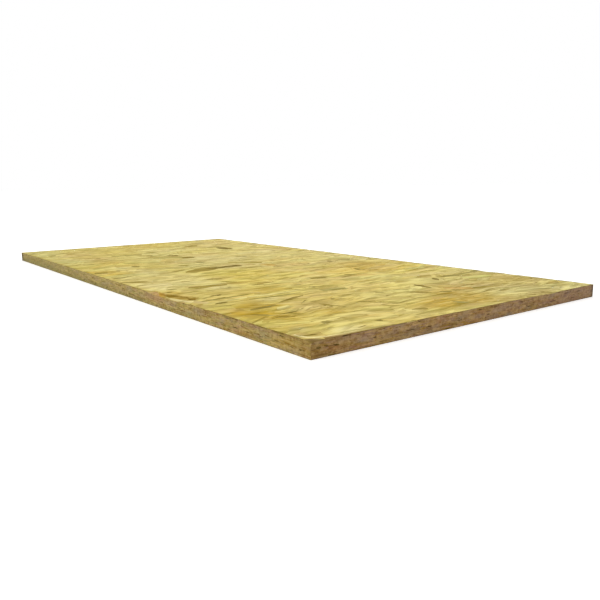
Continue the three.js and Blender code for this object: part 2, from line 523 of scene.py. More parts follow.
def layer_of(count, long, wide, pinched, sunk, shade):
    """Scattered strips with a colour each, all darkened by the same factor, which is painted shade for the
    deeper bed and hollows, and a depth each between two limits."""
    strips = scattered(count, long, wide, pinched)
    strips["tint"] = strand_tints(FACE_COLOURS, count, TINT_SPREAD) * shade
    strips["sunk"] = rng.uniform(*sunk, count)
    return strips


def joined(parts):
    """One set of strips from several, with the later ones on top."""
    return {key: np.concatenate([part[key] for part in parts]) for key in parts[0]}


def face_strands():
    """Bed, strands and hollows of a face. Only bed and hollows have a depth of their own."""
    return joined([
        layer_of(BED_STRANDS, STRAND_LONG, BED_WIDE, pinched=(0, 0.2), sunk=(0.4, 0.7), shade=0.9),
        layer_of(FACE_STRANDS, STRAND_LONG, STRAND_WIDE, pinched=(0.05, 0.4), sunk=(0, 0), shade=1.0),
        layer_of(HOLLOWS, HOLLOW_LONG, HOLLOW_WIDE, pinched=(0.5, 0.8), sunk=(0.25, 0.75), shade=0.9),
    ])


# mm: the height of a wave, and its lengths along x and y
BROAD_WAVE, NARROW_WAVE, LONG_WAVE = (2.4, 57, 31), (1.1, 41, 13), (1.5, 23, 71)


def flowing(places):
    """Moves places in slow waves, so that neighbouring strands bend together, as they were laid. x moves by
    the broad wave's height times sin(y / length + sin(x / length)) and by the narrow one's times sin(y /
    length + x / length), and y by the long one's in the same way."""
    x, y = places[..., 0], places[..., 1]
    across = BROAD_WAVE[0] * np.sin(y / BROAD_WAVE[2] + np.sin(x / BROAD_WAVE[1]))
    across += NARROW_WAVE[0] * np.sin(y / NARROW_WAVE[2] + x / NARROW_WAVE[1])
    along = LONG_WAVE[0] * np.sin(x / LONG_WAVE[1] + y / LONG_WAVE[2])
    return np.stack([x + across, y + along], -1)


print(f"{BED_STRANDS + FACE_STRANDS} strands and {HOLLOWS} hollows on each face")

# %% [markdown]
# ## Marks on the upper face
# Some strands and hollows stand out on this board: dark streaks where a strand is missing, partly painted
# shade, pale ridges that are partly painted highlights, and stains of gold resin. They are placed as strips
# on top of the others, and as zones that tint the scattered strands there.

# %% Stains of the upper face, by colour: x, y, reach along x and y in mm, strength
STAINS = {
    "grey_straw": "#dbcf94",
    "straw": "#dfcb5c",
    "pale_straw": "#e9d98a",
    "cream": "#f0e3a2",
    "green_grey": "#c8c488",
    "olive": "#c1b45e",
    "tan": "#d9bd7c",
    "brown": "#b69a58",
    "gold": "#c69e00",
    "old_gold": "#b89212",
}
ZONES = placed_zones({
    "grey_straw": [
        (-430, -120, 260, 190, 0.5), (-420, 190, 260, 140, 0.5), (-60, 160, 180, 160, 0.4),
        (-80, -50, 170, 120, 0.45), (-120, 29, 90, 60, 0.4), (72, -168, 40, 30, 0.5),
        (-20, -206, 70, 26, 0.7),
    ],
    "straw": [
        (450, -100, 240, 200, 0.25), (-450, -110, 110, 60, 0.5), (87, -66, 60, 50, 0.5),
        (154, -82, 60, 60, 0.5), (575, -225, 70, 60, 0.45), (403, -298, 28, 9, 0.5),
        (393, 100, 45, 45, 0.6),
    ],
    "pale_straw": [
        (418, -14, 130, 110, 0.4), (264, -49, 50, 45, 0.4), (40, -280, 60, 35, 0.5),
        (55, -193, 55, 40, 0.5), (552, -215, 26, 30, 0.5), (289, -238, 60, 50, 0.4),
        (600, -165, 30, 80, 0.4), (569, -96, 34, 26, 0.5), (325, -250, 26, 20, 0.35),
    ],
    "cream": [
        (100, -262, 90, 50, 0.6), (155, -272, 60, 24, 0.6), (132, -202, 60, 45, 0.5),
        (228, -192, 40, 30, 0.75), (593, -234, 16, 26, 0.7), (-103, -227, 60, 30, 0.5),
        (371, -192, 16, 26, 0.7), (557, -278, 14, 12, 0.5), (-375, -5, 45, 45, 0.45),
    ],
    "green_grey": [
        (-528, -268, 90, 60, 0.7), (-300, -280, 120, 60, 0.5), (-515, 190, 60, 30, 0.5),
        (407, 144, 60, 60, 0.4), (566, 138, 50, 60, 0.6), (576, 205, 44, 50, 0.5), (600, 275, 40, 50, 0.6),
    ],
    "olive": [(412, 244, 70, 70, 0.5), (363, 300, 80, 60, 0.5)],
    "tan": [
        (-462, -205, 60, 40, 0.5), (-308, -205, 50, 35, 0.6), (-511, 227, 70, 45, 0.6),
        (451, -171, 45, 45, 0.5),
    ],
    "brown": [
        (600, 78, 22, 36, 0.8), (602, 159, 14, 40, 0.7), (580, -299, 20, 8, 0.6), (606, -264, 8, 24, 0.5),
        (480, 130, 60, 60, 0.5), (592, 5, 14, 26, 0.75), (494, 263, 60, 70, 0.6), (345, -295, 26, 9, 0.7),
    ],
    "gold": [
        (500, -180, 22, 20, 0.75), (570, -30, 20, 24, 0.75), (453, -265, 34, 30, 0.85),
        (547, -3, 36, 36, 0.85), (566, 50, 34, 40, 0.45), (438, -286, 24, 14, 0.6),
        (477, -245, 24, 24, 0.6), (411, -223, 18, 18, 0.75), (504, -236, 16, 22, 0.5),
    ],
    "old_gold": [
        (571, 43, 20, 26, 0.85), (507, 47, 26, 26, 0.65), (161, 207, 50, 70, 0.7),
        (388, -240, 22, 24, 0.75), (523, 66, 24, 26, 0.65), (229, -279, 26, 10, 0.7),
    ],
}, STAINS)

print(f"{len(ZONES)} stains on the upper face")

# %% Strips of the upper face, by colour: from x, y to x, y in mm, width, depth
# dark strips are hollows with partly painted shade; pale strips are partly painted highlights on ridges
MARKS = {
    "olive": "#a89240",
    "grey_olive": "#aa9e58",
    "dark": "#8c7832",
    "crevice": "#6a551a",
    "tan": "#caa04c",
    "green": "#c3be62",
    "pale": "#eadb8a",
}
STRIPS = {
    "olive": [
        (29, -149, 8, -76, 36, 0.5), (-444, 97, -453, 131, 32, 0.6), (-58, 0, -7, 56, 20, 0.4),
        (202, -237, 212, -169, 17, 0.5), (176, -159, 194, -139, 13, 0.5), (243, -141, 243, -116, 12, 0.5),
        (455, 7, 487, 37, 11, 0.6), (494, 53, 504, 72, 12, 0.6), (509, -79, 517, -63, 11, 0.5),
        (517, -63, 505, -2, 8, 0.5), (559, -84, 570, -62, 12, 0.5), (507, 113, 520, 174, 16, 0.3),
        (262, -19, 259, 19, 15, 0.7), (252, 68, 265, 87, 16, 0.5), (205, 141, 235, 143, 15, 0.6),
        (397, -194, 376, -134, 10, 0.6), (421, -258, 414, -210, 11, 0.6), (452, -276, 476, -252, 9, 0.4),
        (486, -262, 498, -238, 6, 0.5), (476, -106, 492, -84, 9, 0.6), (446, -156, 486, -145, 8, 0.5),
        (324, -269, 317, -233, 6, 0.6), (217, -228, 209, -189, 10, 0.5), (-84, -297, -75, -272, 20, 0.7),
        (71, -304, 89, -260, 14, 0.7), (204, -238, 219, -222, 10, 0.5),
    ],
    "grey_olive": [
        (-244, -93, -194, -7, 40, 0.4), (560, 2, 576, 18, 14, 0.3), (390, 179, 389, 300, 11, 0.5),
        (360, -82, 375, -34, 22, 0.3), (323, -283, 321, -193, 8, 0.5), (357, -217, 354, -119, 8, 0.5),
        (-358, -155, -336, -83, 28, 0.4), (-360, -62, -359, -35, 30, 0.5), (-86, -112, -66, -98, 20, 0.4),
        (5, -170, -12, -134, 12, 0.5), (194, -274, 202, -258, 10, 0.5), (-458, -279, -471, -258, 14, 0.4),
        (-227, -268, -220, -246, 20, 0.4),
    ],
    "dark": [
        (-268, -44, -265, -21, 24, 0.8), (-201, -38, -198, -10, 24, 0.8), (395, 157, 415, 144, 12, 0.8),
        (421, 74, 464, 69, 11, 0.8), (474, -245, 466, -212, 5, 0.8), (355, -275, 350, -250, 8, 0.9),
        (-130, -198, -118, -184, 22, 0.8),
    ],
    "crevice": [(10, -86, 3, -8, 25, 1.4), (-361, 156, -296, 152, 27, 1.4)],
    "tan": [(21, 36, 52, 46, 26, 0), (516, 6, 528, 15, 12, 0), (480, 85, 508, 122, 26, 0)],
    "green": [(424, 201, 433, 269, 28, 0)],
    "pale": [
        (184, -226, 187, -155, 12, 0), (446, -228, 430, -198, 13, 0), (343, -289, 339, -205, 12, 0),
        (339, -205, 335, -104, 12, 0),
    ],
}
POINTED, BLUNT = 0.6, 0.3  # how far the ends narrow: of a narrow hollow, and of a broad strand or a ridge
BROAD = 18  # mm wide
OWN_COLOUR = 0.85  # the rest is straw
MARK_DEPTH = 0.8  # of the depth that is listed


def hand_placed(strips, colours):
    """The same values as scattered strips have, from strips listed under their colours: both ends, width
    and depth."""
    listed = [(*strip, colours[name]) for name, marks in strips.items() for strip in marks]
    ends = np.array([strip[:4] for strip in listed], float)
    width, depth = np.array([strip[4:6] for strip in listed], float).T
    way = ends[:, 2:] - ends[:, :2]
    straw = linear(FACE_COLOURS["straw"][0])
    return {
        "middle": ends[:, :2] + way / 2,
        "angle": np.arctan2(way[:, 1], way[:, 0]),
        "half_long": np.hypot(*way.T) / 2,
        "half_wide": width / 2,
        "pinched": np.where((depth > 0) & (width < BROAD), POINTED, BLUNT),
        "tint": np.array([OWN_COLOUR * linear(strip[6]) + (1 - OWN_COLOUR) * straw for strip in listed]),
        "sunk": MARK_DEPTH * depth,
    }


print(f"{sum(map(len, STRIPS.values()))} strips placed by hand on the upper face")

# %% [markdown]
# ## Torn and bruised places
# A handful of strands were torn off the front arris, and a chip is missing here and there at the others.
# Their outlines repeat the rule that the frame's own solid follows. The near corner is bruised: it was
# pressed down, and a pale band along the arris beside it is a painted highlight.

# %% Outlines of what is torn off
CORNER_CLEAR = 24  # mm beside each corner that stay whole
CHIP_SPACING, CHIP_LENGTH, CHIP_REACH = 190, 22, 4  # mm
TEAR_FROM_CORNER, TEAR_LENGTH, TEAR_REACH = 278, 156, 38  # mm
TEAR_START = LENGTH / 2 - TEAR_FROM_CORNER - TEAR_LENGTH
CHIP_LENGTHS, CHIP_REACHES = (0.6, 1.3), (0.6, 1.4)  # smallest and largest, in the sizes above
OVERRUN = 5  # mm that an outline runs past the arris
GOLDEN = (math.sqrt(5) - 1) / 2
COUNTS = 100  # the counter of a side's gaps and chips starts at this many for each side before it


def share(k, power):
    """A fixed spread of numbers from 0 to 1: k times a power of the golden ratio, plus that power's own
    share."""
    return (k * GOLDEN**power + power * GOLDEN) % 1


def between(low, high, k, power):
    """A number from low to high by the same spread."""
    return low + (high - low) * share(k, power)


def side_frame(side):
    """Run direction, outward direction, half the run and the distance out of a side. Side 0 is the front
    one."""
    run = np.array(((1, 0), (0, 1), (-1, 0), (0, -1))[side])
    outward = np.array([run[1], -run[0]])
    return run, outward, np.abs(run) @ HALF, np.abs(outward) @ HALF


def anticlockwise(outline):
    """The outline, turned round where its signed area, half the sum of x y' - x' y, is negative."""
    outline = np.asarray(outline, float)
    x, y = outline.T
    return outline if (x * np.roll(y, -1) - np.roll(x, -1) * y).sum() > 0 else outline[::-1]


def torn_outline(side, along, length, reach):
    """The outline, in the face's plane, of what is torn off at an arris: its corners' places along it, in
    lengths, and how far into the face they reach, in reaches."""
    run, outward, _, out = side_frame(side)
    t = np.array([-0.5, -0.5, -0.38, -0.16, 0.24, 0.3, 0.5, 0.5]) * length
    into = np.array([-OVERRUN, 0, 0.35 * reach, 0.3 * reach, reach, 0.72 * reach, 0, -OVERRUN])
    return (t + along)[:, None] * run + (out - into)[:, None] * outward


def chip_outlines(side):
    """Small chips along an upper arris, one strand deep."""
    usable = 2 * side_frame(side)[2] - 2 * CORNER_CLEAR
    count = int(usable // CHIP_SPACING)
    outlines = []
    for i in range(count):
        k = COUNTS * side + i
        length = CHIP_LENGTH * between(*CHIP_LENGTHS, k, 2)
        along = -usable / 2 + length + (i + share(k, 3)) * (usable - 2 * length) / count
        outlines.append(torn_outline(side, along, length, CHIP_REACH * between(*CHIP_REACHES, k, 4)))
    return outlines


tear = torn_outline(0, TEAR_START + TEAR_LENGTH / 2, TEAR_LENGTH, TEAR_REACH)
chips = [outline for side in (1, 2, 3) for outline in chip_outlines(side)]
print(f"one tear of {TEAR_LENGTH} mm and {len(chips)} chips")

# %% Patches: outline in mm, colour, depth, and 1 where the patch lies in a torn place
BARE_WOOD = "#dccb84"
FLUSH = 0.01  # mm deep: as good as level with the face, and nothing dives under it
PATCH_SPAN = 0.7  # half length and width in extents: more than a half, so that no outline darkens
PATCHES = [(chip, BARE_WOOD, 0, 1) for chip in chips] + [
    (tear, "#d9c676", 0, 1),
    ([(178, -306), (183, -304), (194, -292.5), (203, -294), (224, -303), (240, -306)], "#c99a6a", 0.1, 1),
    ([(232, -306), (318, -306), (304, -299), (262, -302)], "#c6a26c", 0.1, 1),
    ([(200, -292), (212, -292), (228, -293.5), (246, -302), (240, -306), (224, -303)], "#c89e42", 0.1, 1),
    # groove along the tear's inner wall: a painted shadow of that wall, over a shallow real groove
    ([(214, -294), (229, -293.5), (258, -281), (291, -267.5), (299, -275), (303, -280), (293, -288),
      (269, -292.5), (251, -299), (232, -296.5)], "#a8862e", 0.2, 1),
    # the darkest part of that painted shadow, under the deepest part of the wall
    ([(276, -280), (298, -273.5), (303, -279), (290, -284)], "#8a6e22", 0.5, 1),
    ([(246, -301.5), (277, -293), (300, -289), (305, -282.5), (321, -296.5), (296, -302), (267, -304)],
     "#e6d594", -0.3, 1),
    ([(307, -283), (319, -281), (334, -273), (342, -284), (338, -292), (323, -297)], "#cdb676", FLUSH, 0),
    # painted highlight along the arris at the bruised corner
    ([(574, -302.5), (586, -302), (595, -299), (603, -290), (606, -276), (602, -276), (597, -287),
      (590, -294), (582, -297.5), (574, -299.5)], "#f7e8a6", FLUSH, 0),
    ([(596, -306), (611, -306), (611, -284), (606, -289), (601, -298)], "#84693a", FLUSH, 0),
    # painted highlight along the right arris, near the corner
    ([(602, -276), (606, -276), (608.5, -215), (607.5, -170), (606, -170), (605, -215)], "#ecdc94", FLUSH, 0),
    ([(606, -284), (611, -284), (611, -190), (609.5, -190), (608.5, -215)], "#9c7c42", FLUSH, 0),
]


def patch_values(patches):
    """The same values as strips have, from each patch's own extent. Their grain runs across the panel."""
    outlines = [np.array(patch[0], float) for patch in patches]
    extent = np.array([np.ptp(outline, 0) for outline in outlines])
    return {
        "middle": np.array([outline.mean(0) for outline in outlines]),
        "angle": np.full(len(patches), math.pi / 2),
        "half_long": extent[:, 1] * PATCH_SPAN,
        "half_wide": extent[:, 0] * PATCH_SPAN,
        "pinched": np.zeros(len(patches)),
        "tint": np.array([linear(patch[1]) for patch in patches]),
        "sunk": np.array([patch[2] for patch in patches], float),
    }


print(f"{len(PATCHES)} patches")

# %% Depths that follow the place and not the strand
TEAR_LIP, TEAR_DEEP = 1.7, 3.0  # mm deep at the tear's inner end and at the arris
TEAR_FADES = (30, 45)  # mm from its two ends over which it comes to its full depth
TEAR_LEAST = 0.25  # share of the depth at the very ends
SLACK = 2  # mm round the tear that still count as in it
KNOCK_REACH = (16.0, 25.0)  # mm along the length and the width
KNOCK_DROP = 2.5  # mm
SWELLS, SWELL_WANDER = 620, 10  # how many, and the spread of their places in mm
SWELL_LONG, SWELL_WIDE = (18, 55), (5, 12)  # mm, half length and half width of a ridge or dip
SWELL_HIGH = 0.75  # mm, spread of the heights
SWELL_TOP, SWELL_DEEP = 0.35, 1.3  # mm, the height at which the plate stops them, and the deepest they reach


def torn_depth(flat):
    """One strand's thickness in a chip. In the tear it grows evenly from the lip to the arris, and it fades
    out towards both of its ends."""
    into = flat[:, 1] + WIDTH / 2
    along = flat[:, 0] - TEAR_START
    slope = TEAR_DEEP + (TEAR_LIP - TEAR_DEEP) * (into / TEAR_REACH).clip(0, 1)
    fade = np.minimum(along / TEAR_FADES[0], (TEAR_LENGTH - along) / TEAR_FADES[1]).clip(TEAR_LEAST, 1)
    in_tear = (np.abs(along - TEAR_LENGTH / 2) < TEAR_LENGTH / 2 + SLACK) & (into < TEAR_REACH + SLACK)
    return np.where(in_tear, slope * fade, STRAND_THICKNESS)


def knocked(flat):
    """Depth of the bruised corner: with d the distance past the chord between its two ends, as a share of
    the way to the corner, the surface drops by KNOCK_DROP times d squared."""
    to_corner = np.array([LENGTH / 2, -WIDTH / 2]) - flat
    past = 1 - to_corner[:, 0] / KNOCK_REACH[0] + to_corner[:, 1] / KNOCK_REACH[1]
    return KNOCK_DROP * past.clip(0) ** 2


def swelling(flat):
    """Height of a face's ridges and dips below the plate: the sum, for each of them, of its height times
    exp(-u squared - v squared), where u and v are the distances along and across it in units of its half
    length and half width."""
    middle = even_places(SWELLS, -HALF, HALF, SWELL_WANDER)
    angle = math.pi / 2 + rng.normal(0, STRAND_LEAN, SWELLS)
    reach = rng.uniform(*np.transpose([SWELL_LONG, SWELL_WIDE]), (SWELLS, 2))
    total = np.zeros(len(flat))
    for place, turned, size, high in zip(middle, angle, reach, rng.normal(0, SWELL_HIGH, SWELLS)):
        axes = np.array([[math.cos(turned), -math.sin(turned)], [math.sin(turned), math.cos(turned)]])
        total += high * np.exp(-((((flat - place) @ axes) / size) ** 2).sum(1))
    return (total - SWELL_TOP).clip(-SWELL_DEEP, 0)


print(f"tear {TEAR_DEEP} mm deep, corner pressed down {KNOCK_DROP} mm")

# %% [markdown]
# ## Building a face
# Everything above comes together: outlines are drawn flat and triangulated, each strand gets its heights,
# and the steps are closed. Near a sawn arris the relief is weaker, because the saw cut the strands level
# there.

# %% Loose points that break up long triangles
LOOSE_SPACING, TEAR_SPACING, CORNER_SPACING = 8.0, 5.0, 4.0  # mm
JITTER = 0.35  # of the spacing
CORNER_POINTS_REACH = 40  # mm


def loose_points(low, high, spacing):
    """A jittered grid of points inside a rectangle."""
    low, high = np.asarray(low, float), np.asarray(high, float)
    count = np.maximum(((high - low) / spacing).astype(int), 1)
    x, y = (low[i] + (np.arange(n) + 0.5) / n * (high[i] - low[i]) for i, n in enumerate(count))
    grid = np.stack(np.meshgrid(x, y), -1).reshape(-1, 2)
    return grid + rng.uniform(-JITTER, JITTER, grid.shape) * spacing


def points_on_sides(half, spacing):
    """Rows of points on the four sides of a rectangle."""
    x, y = (np.arange(-h + spacing / 2, h, spacing) for h in half)
    across = [np.column_stack([x, np.full(len(x), side)]) for side in (-half[1], half[1])]
    upright = [np.column_stack([np.full(len(y), side), y]) for side in (-half[0], half[0])]
    return np.concatenate([*across, *upright])


def face_points():
    """Loose points of a face, closer together in the tear and at the bruised corner."""
    front, end, reach = -WIDTH / 2, LENGTH / 2, CORNER_POINTS_REACH
    return np.concatenate([
        loose_points(-HALF, HALF, LOOSE_SPACING),
        points_on_sides(HALF, LOOSE_SPACING),
        loose_points((TEAR_START, front), (TEAR_START + TEAR_LENGTH, front + TEAR_REACH), TEAR_SPACING),
        loose_points((end - reach, front), (end, front + reach), CORNER_SPACING),
    ])


print(f"loose points every {LOOSE_SPACING:.0f} mm")

# %% Values that the corners carry
GRAIN_STEP = 7.31  # shift of the grain's pattern from one strand to the next


def strand_values(flat, strand, strands, bare):
    """For each corner: its strand's tint, its place along and across the strand in mm, and where it lies
    within the strand's outline, from -1 to 1, with the strand's half length."""
    padded = {k: np.concatenate([v, v[:1]]) for k, v in strands.items()}
    padded["tint"][-1] = bare
    away = flat - padded["middle"][strand]
    angle = padded["angle"][strand]
    along = away[:, 0] * np.cos(angle) + away[:, 1] * np.sin(angle)
    across = away[:, 1] * np.cos(angle) - away[:, 0] * np.sin(angle)
    long, wide = padded["half_long"][strand], padded["half_wide"][strand]
    return {
        "tint": padded["tint"][strand],
        "grain": np.stack([along, across, strand * GRAIN_STEP], 1),
        "within": np.stack([along / long, across / wide, long], 1),
    }


# %% Heights of a face
FACE_STRIPS, FACE_TILES = 4, 3  # pieces of a face, and map tiles of each piece
BARE_DEPTH = 0.9  # mm deep, where no strand lies
PRESS_STEP = (0.05, 0.35)  # mm that a strand dives under its neighbour, most often near the smaller
CURL, CURL_LONG, CURL_WIDE = 0.08, 14, 6  # mm: how high, how long and how wide a strand's own waves are
ARRIS_REACH = 14.0  # mm from a sawn arris over which the relief comes back
UPPER_ARRIS, LOWER_ARRIS = 0.6, 0.1  # share of the relief left there: the saw cut the lower ones clean
ROUNDED, ROUND_REACH = 0.6, 5.0  # mm down, times the share above, and how far in the rounding begins
ARRIS_TINTS = (  # side, mm, share and colour to which the face is tinted beside an arris
    (0, 4.5, 0.45, "#a08a3c"), (2, 18.0, 0.7, "#9a9a70"), (3, 26.0, 0.6, "#a3a478"),
)


def pressed_heights(flat, source, strand, corners, walls, sunk, torn):
    """Heights below the plate. Bed, hollows and patches lie at their own depth. Where a strand passes over
    another, the lower one's corner is pinned a step down, and every strand then relaxes between its pinned
    corners."""
    height = -sunk
    pinned = (sunk != 0) | (torn > 0)
    press = PRESS_STEP[0] + np.ptp(PRESS_STEP) * rng.uniform(0, 1, strand.max() + 2) ** 2
    a_one, b_one, b_two, a_two = walls.T
    for over, under in ((a_one, b_two), (b_one, a_two), (b_two, a_one), (a_two, b_one)):
        covers = (strand[over] > strand[under]) & ~pinned[over] & ~pinned[under]
        np.minimum.at(height, under[covers], -press[strand[over[covers]]])
    return relaxed(height, pinned | (height < 0), corners, flat)


def face_surface(strands, loops, torn_flags, zones, scattered_count, at_arris):
    """One face, with its strands, outlines, flags of torn places, zones that tint its scattered strands,
    and the share of its relief and wear that is left at the sawn arrises."""
    cells = grid_cells(HALF, FACE_TILES, FACE_STRIPS)
    region = grid_cells(HALF, 1, 1)[0]
    points, triangles, cell, top = drawing(cells, region, face_points(), loops)
    flat, source, strand, corners = split_by_strand(points, triangles, top)
    walls, wall_cell = step_walls(corners, source, strand, cell)
    sunk = np.append(strands["sunk"], BARE_DEPTH)[strand]
    torn = np.append(torn_flags, 0)[strand]
    height = pressed_heights(flat, source, strand, corners, walls, sunk, torn)
    values = strand_values(flat, strand, strands, DEEP_SHADOW)
    takes = (strand >= 0) & (strand < scattered_count)
    values["tint"][takes] = zoned(values["tint"][takes], flat[takes], zones)
    along, across, number = values["grain"].T
    height += CURL * (np.sin(along / CURL_LONG + number) * np.sin(across / CURL_WIDE + 2 * number) - 1)
    values["sunk"] = -height
    inward = (HALF - np.abs(flat)).min(1)
    height += swelling(flat)
    height *= at_arris + (1 - at_arris) * (inward / ARRIS_REACH).clip(0, 1)
    height -= at_arris * ROUNDED * (1 - inward / ROUND_REACH).clip(0) ** 2
    height = np.where(torn > 0, height - torn_depth(flat), np.minimum(height, 0))
    if torn_flags.any():
        height -= knocked(flat)
        for side, reach, most, colour in ARRIS_TINTS:
            _, outward, _, out = side_frame(side)
            arris_tint = most * (1 - (out - flat @ outward) / reach).clip(0)[:, None]
            values["tint"] = values["tint"] * (1 - arris_tint) + linear(colour) * arris_tint
    faces = list(corners) + [np.array(f) for f in wall_faces(walls, source, height)]
    return {
        "corners": np.column_stack([flat, height]),
        "source": source,
        "faces": faces,
        "cell": np.concatenate([cell, wall_cell]),
        "border": border_edges(faces),
        "values": values,
        "half": HALF,
        "mitre": FACE_MITRE,
        "tiles": tile_map(HALF, FACE_TILES, FACE_STRIPS),
    }


# %% Build the upper and lower faces
SIDE_STOPS = (-0.94, -0.35, 0.3, 0.94)  # corners of a strand's sides, in half lengths
STRAND_BOW, STRAND_RAGGED = 0.16, 0.05  # spreads: of the bow in half widths, of the ends in half lengths
FACE_DRIFTS, DRIFT_REACH, DRIFT_STRENGTH = 210, (22, 48), 0.5  # how many zones, reach in mm, strength
DRIFT_COLOURS = {
    "cream": "#f0e2a0", "gold": "#d4a82c", "yellow": "#e6ce48", "olive": "#bba842", "pink_tan": "#e0bc7c",
    "green_grey": "#cfca7c", "straw": "#e8d468",
}


def upper_to_world(places):
    """Upper face: its plate level is the panel's top."""
    return places + [0, 0, THICKNESS]


def lower_to_world(places):
    """Lower face: made looking up, and turned over about the panel's length."""
    return places * [1, -1, -1]


def drifting():
    """Soft zones of the colours that logs, resin and wax give to a whole handful of strands."""
    return drifts(FACE_DRIFTS, HALF, DRIFT_REACH, DRIFT_COLOURS, DRIFT_STRENGTH)


scattered_strands = face_strands()
count = len(scattered_strands["sunk"])
upper_strands = joined([scattered_strands, hand_placed(STRIPS, MARKS)])
upper_loops = list(flowing(strand_loops(upper_strands, SIDE_STOPS, STRAND_BOW, STRAND_RAGGED)))
upper_loops += [anticlockwise(patch[0]) for patch in PATCHES]
torn_flags = np.array([0] * len(upper_strands["sunk"]) + [patch[3] for patch in PATCHES])
upper_strands = joined([upper_strands, patch_values(PATCHES)])
upper = face_surface(upper_strands, upper_loops, torn_flags, drifting() + ZONES, count, UPPER_ARRIS)

lower_strands = face_strands()
lower_loops = flowing(strand_loops(lower_strands, SIDE_STOPS, STRAND_BOW, STRAND_RAGGED))
lower = face_surface(lower_strands, lower_loops, np.zeros(count, int), drifting(), count, LOWER_ARRIS)
for label, face in (("upper", upper), ("lower", lower)):
    low, high = face["corners"][:, 2].min(), face["corners"][:, 2].max()
    print(f"{label} face: {len(face['faces'])} faces, heights {low:.2f} to {high:.2f} mm")

# %% [markdown]
# ## The four sawn edges
# A saw shows the layers. On the long edges the face strands are cut across, as short dashes, and the core
# strands along, as longer ribbons. On the short edges it is the other way round. The same flat drawing
# serves: its outline runs along the borders of the two faces, steps and all, so edge and faces meet.

# %% A face's border as the edge's outline
ON_SIDE = 0.001  # mm


def border_path(surface, side, to_world):
    """Places (along, up) of a face's border on a side, from the run's start to its end, with every step."""
    run, outward, half_run, out = side_frame(side)
    places = to_world(surface["corners"])
    on_side = places[:, :2] @ outward > out - ON_SIDE
    start, end = surface["border"]
    kept = on_side[start] & on_side[end]
    follow = dict(zip(start[kept].tolist(), end[kept].tolist()))
    chain = [(set(follow) - set(follow.values())).pop()]
    while chain[-1] in follow:
        chain.append(follow[chain[-1]])
    path = np.column_stack([places[chain, :2] @ run, places[chain, 2] - THICKNESS / 2])
    if path[0, 0] > path[-1, 0]:
        path = path[::-1]
    first = np.flatnonzero(path[:, 0] < ON_SIDE - half_run).max()
    last = np.flatnonzero(path[:, 0] > half_run - ON_SIDE).min()
    return path[first:last + 1]


print(f"{len(border_path(upper, 0, upper_to_world))} corners along the upper front arris")

# %% Strand sections in a sawn edge
LAYERS = 21  # of strands, in the thickness
WAVES = ((0.5, 21, 3), (0.3, 8, 2))  # mm: height, and lengths along and up, of a slow and a quick wave
FACE_LAYER = 5.5  # mm of strands that lie across the panel, above and below the core
CUT_ACROSS, CUT_ALONG = 8, 20  # mm, middle lengths of a section
SECTION_SPREAD = 0.42  # of the logarithm of the length
SECTION_LONG = (4, 70)  # mm, shortest and longest
SECTION_WIDE, SECTION_PINCH = (0.5, 1.1), (0, 0.6)  # mm, half widths, and how far the ends narrow
SECTION_LEAN, SECTION_WANDER = 0.05, 0.15  # spreads: of the angle in radians, of the height in mm
SECTION_SUNK = (0.02, 0.12)  # mm
TORN_SHARE, TORN_SUNK = 0.03, 0.3  # share of the sections that the saw tore, and mm that they lie deeper
ROW_STEP, ROW_SHIFT = 8, 40  # mm for each section of a row, and the most that a row starts early
SCATTERED = 0.4  # how many more sections lie over the rows
EDGE_DRIFTS, EDGE_REACH, EDGE_STRENGTH = 0.16, (9, 2.6), 0.6  # zones for each mm, their reach and strength
BLOTCHES = [  # of the long edges, and of the short ones
    {"pink_grey": "#b59a78", "olive": "#98894c", "cream": "#c9b07a", "gold": "#a8873a", "grey_tan": "#a8987a",
     "tan": "#b0945a"},
    {"rust": "#b27e50", "mauve": "#a08272", "grey": "#9c8c78", "cream": "#c0a47c", "gold": "#a8863e",
     "tan": "#a88a5c"},
]


def section_lengths(side, up, half):
    """Lengths of the sections at heights up: long where the saw ran along the strands, short where across."""
    outer = np.abs(up) > half[1] - FACE_LAYER
    across = outer if side % 2 == 0 else ~outer
    middle = np.where(across, CUT_ACROSS, CUT_ALONG)
    return (middle * np.exp(rng.normal(0, SECTION_SPREAD, len(up)))).clip(*SECTION_LONG)


def sawn_strands(side, half):
    """Sections of an edge, as arrays. Each layer is a row of sections end to end, and more are scattered
    over them. They move up by both waves, each its height times sin(along / length + up / length), and most
    of all at mid height: by 1 - h squared, with h the height from the middle in half thicknesses."""
    per_layer = int(2 * half[0] / ROW_STEP)
    level = (np.arange(LAYERS) + 0.5) / LAYERS * 2 * half[1] - half[1]
    up = np.repeat(level, per_layer)
    long = section_lengths(side, up, half).reshape(LAYERS, per_layer)
    along = np.cumsum(long, 1) - long / 2 - half[0] - rng.uniform(0, ROW_SHIFT, (LAYERS, 1))
    extra = int(SCATTERED * LAYERS * per_layer / 2)
    more_up = rng.uniform(-half[1], half[1], extra)
    up = np.concatenate([up, more_up])
    along = np.concatenate([along.ravel(), rng.uniform(-half[0], half[0], extra)])
    long = np.concatenate([long.ravel(), section_lengths(side, more_up, half)])
    kept = np.abs(along) < half[0] + long / 2
    along, up, long = along[kept], up[kept], long[kept]
    count = len(along)
    slow, quick = WAVES
    wave = slow[0] * np.sin(along / slow[1] + up / slow[2] + side)
    wave += quick[0] * np.sin(along / quick[1] + up / quick[2])
    up += wave * (1 - (up / half[1]) ** 2) + rng.normal(0, SECTION_WANDER, count)
    return {
        "middle": np.column_stack([along, up]),
        "angle": rng.normal(0, SECTION_LEAN, count),
        "half_long": long / 2,
        "half_wide": rng.uniform(*SECTION_WIDE, count),
        "pinched": rng.uniform(*SECTION_PINCH, count),
        "tint": strand_tints((LONG_EDGE_COLOURS, SHORT_EDGE_COLOURS)[side % 2], count, TINT_SPREAD),
        "sunk": rng.uniform(*SECTION_SUNK, count) + (rng.uniform(0, 1, count) > 1 - TORN_SHARE) * TORN_SUNK,
    }


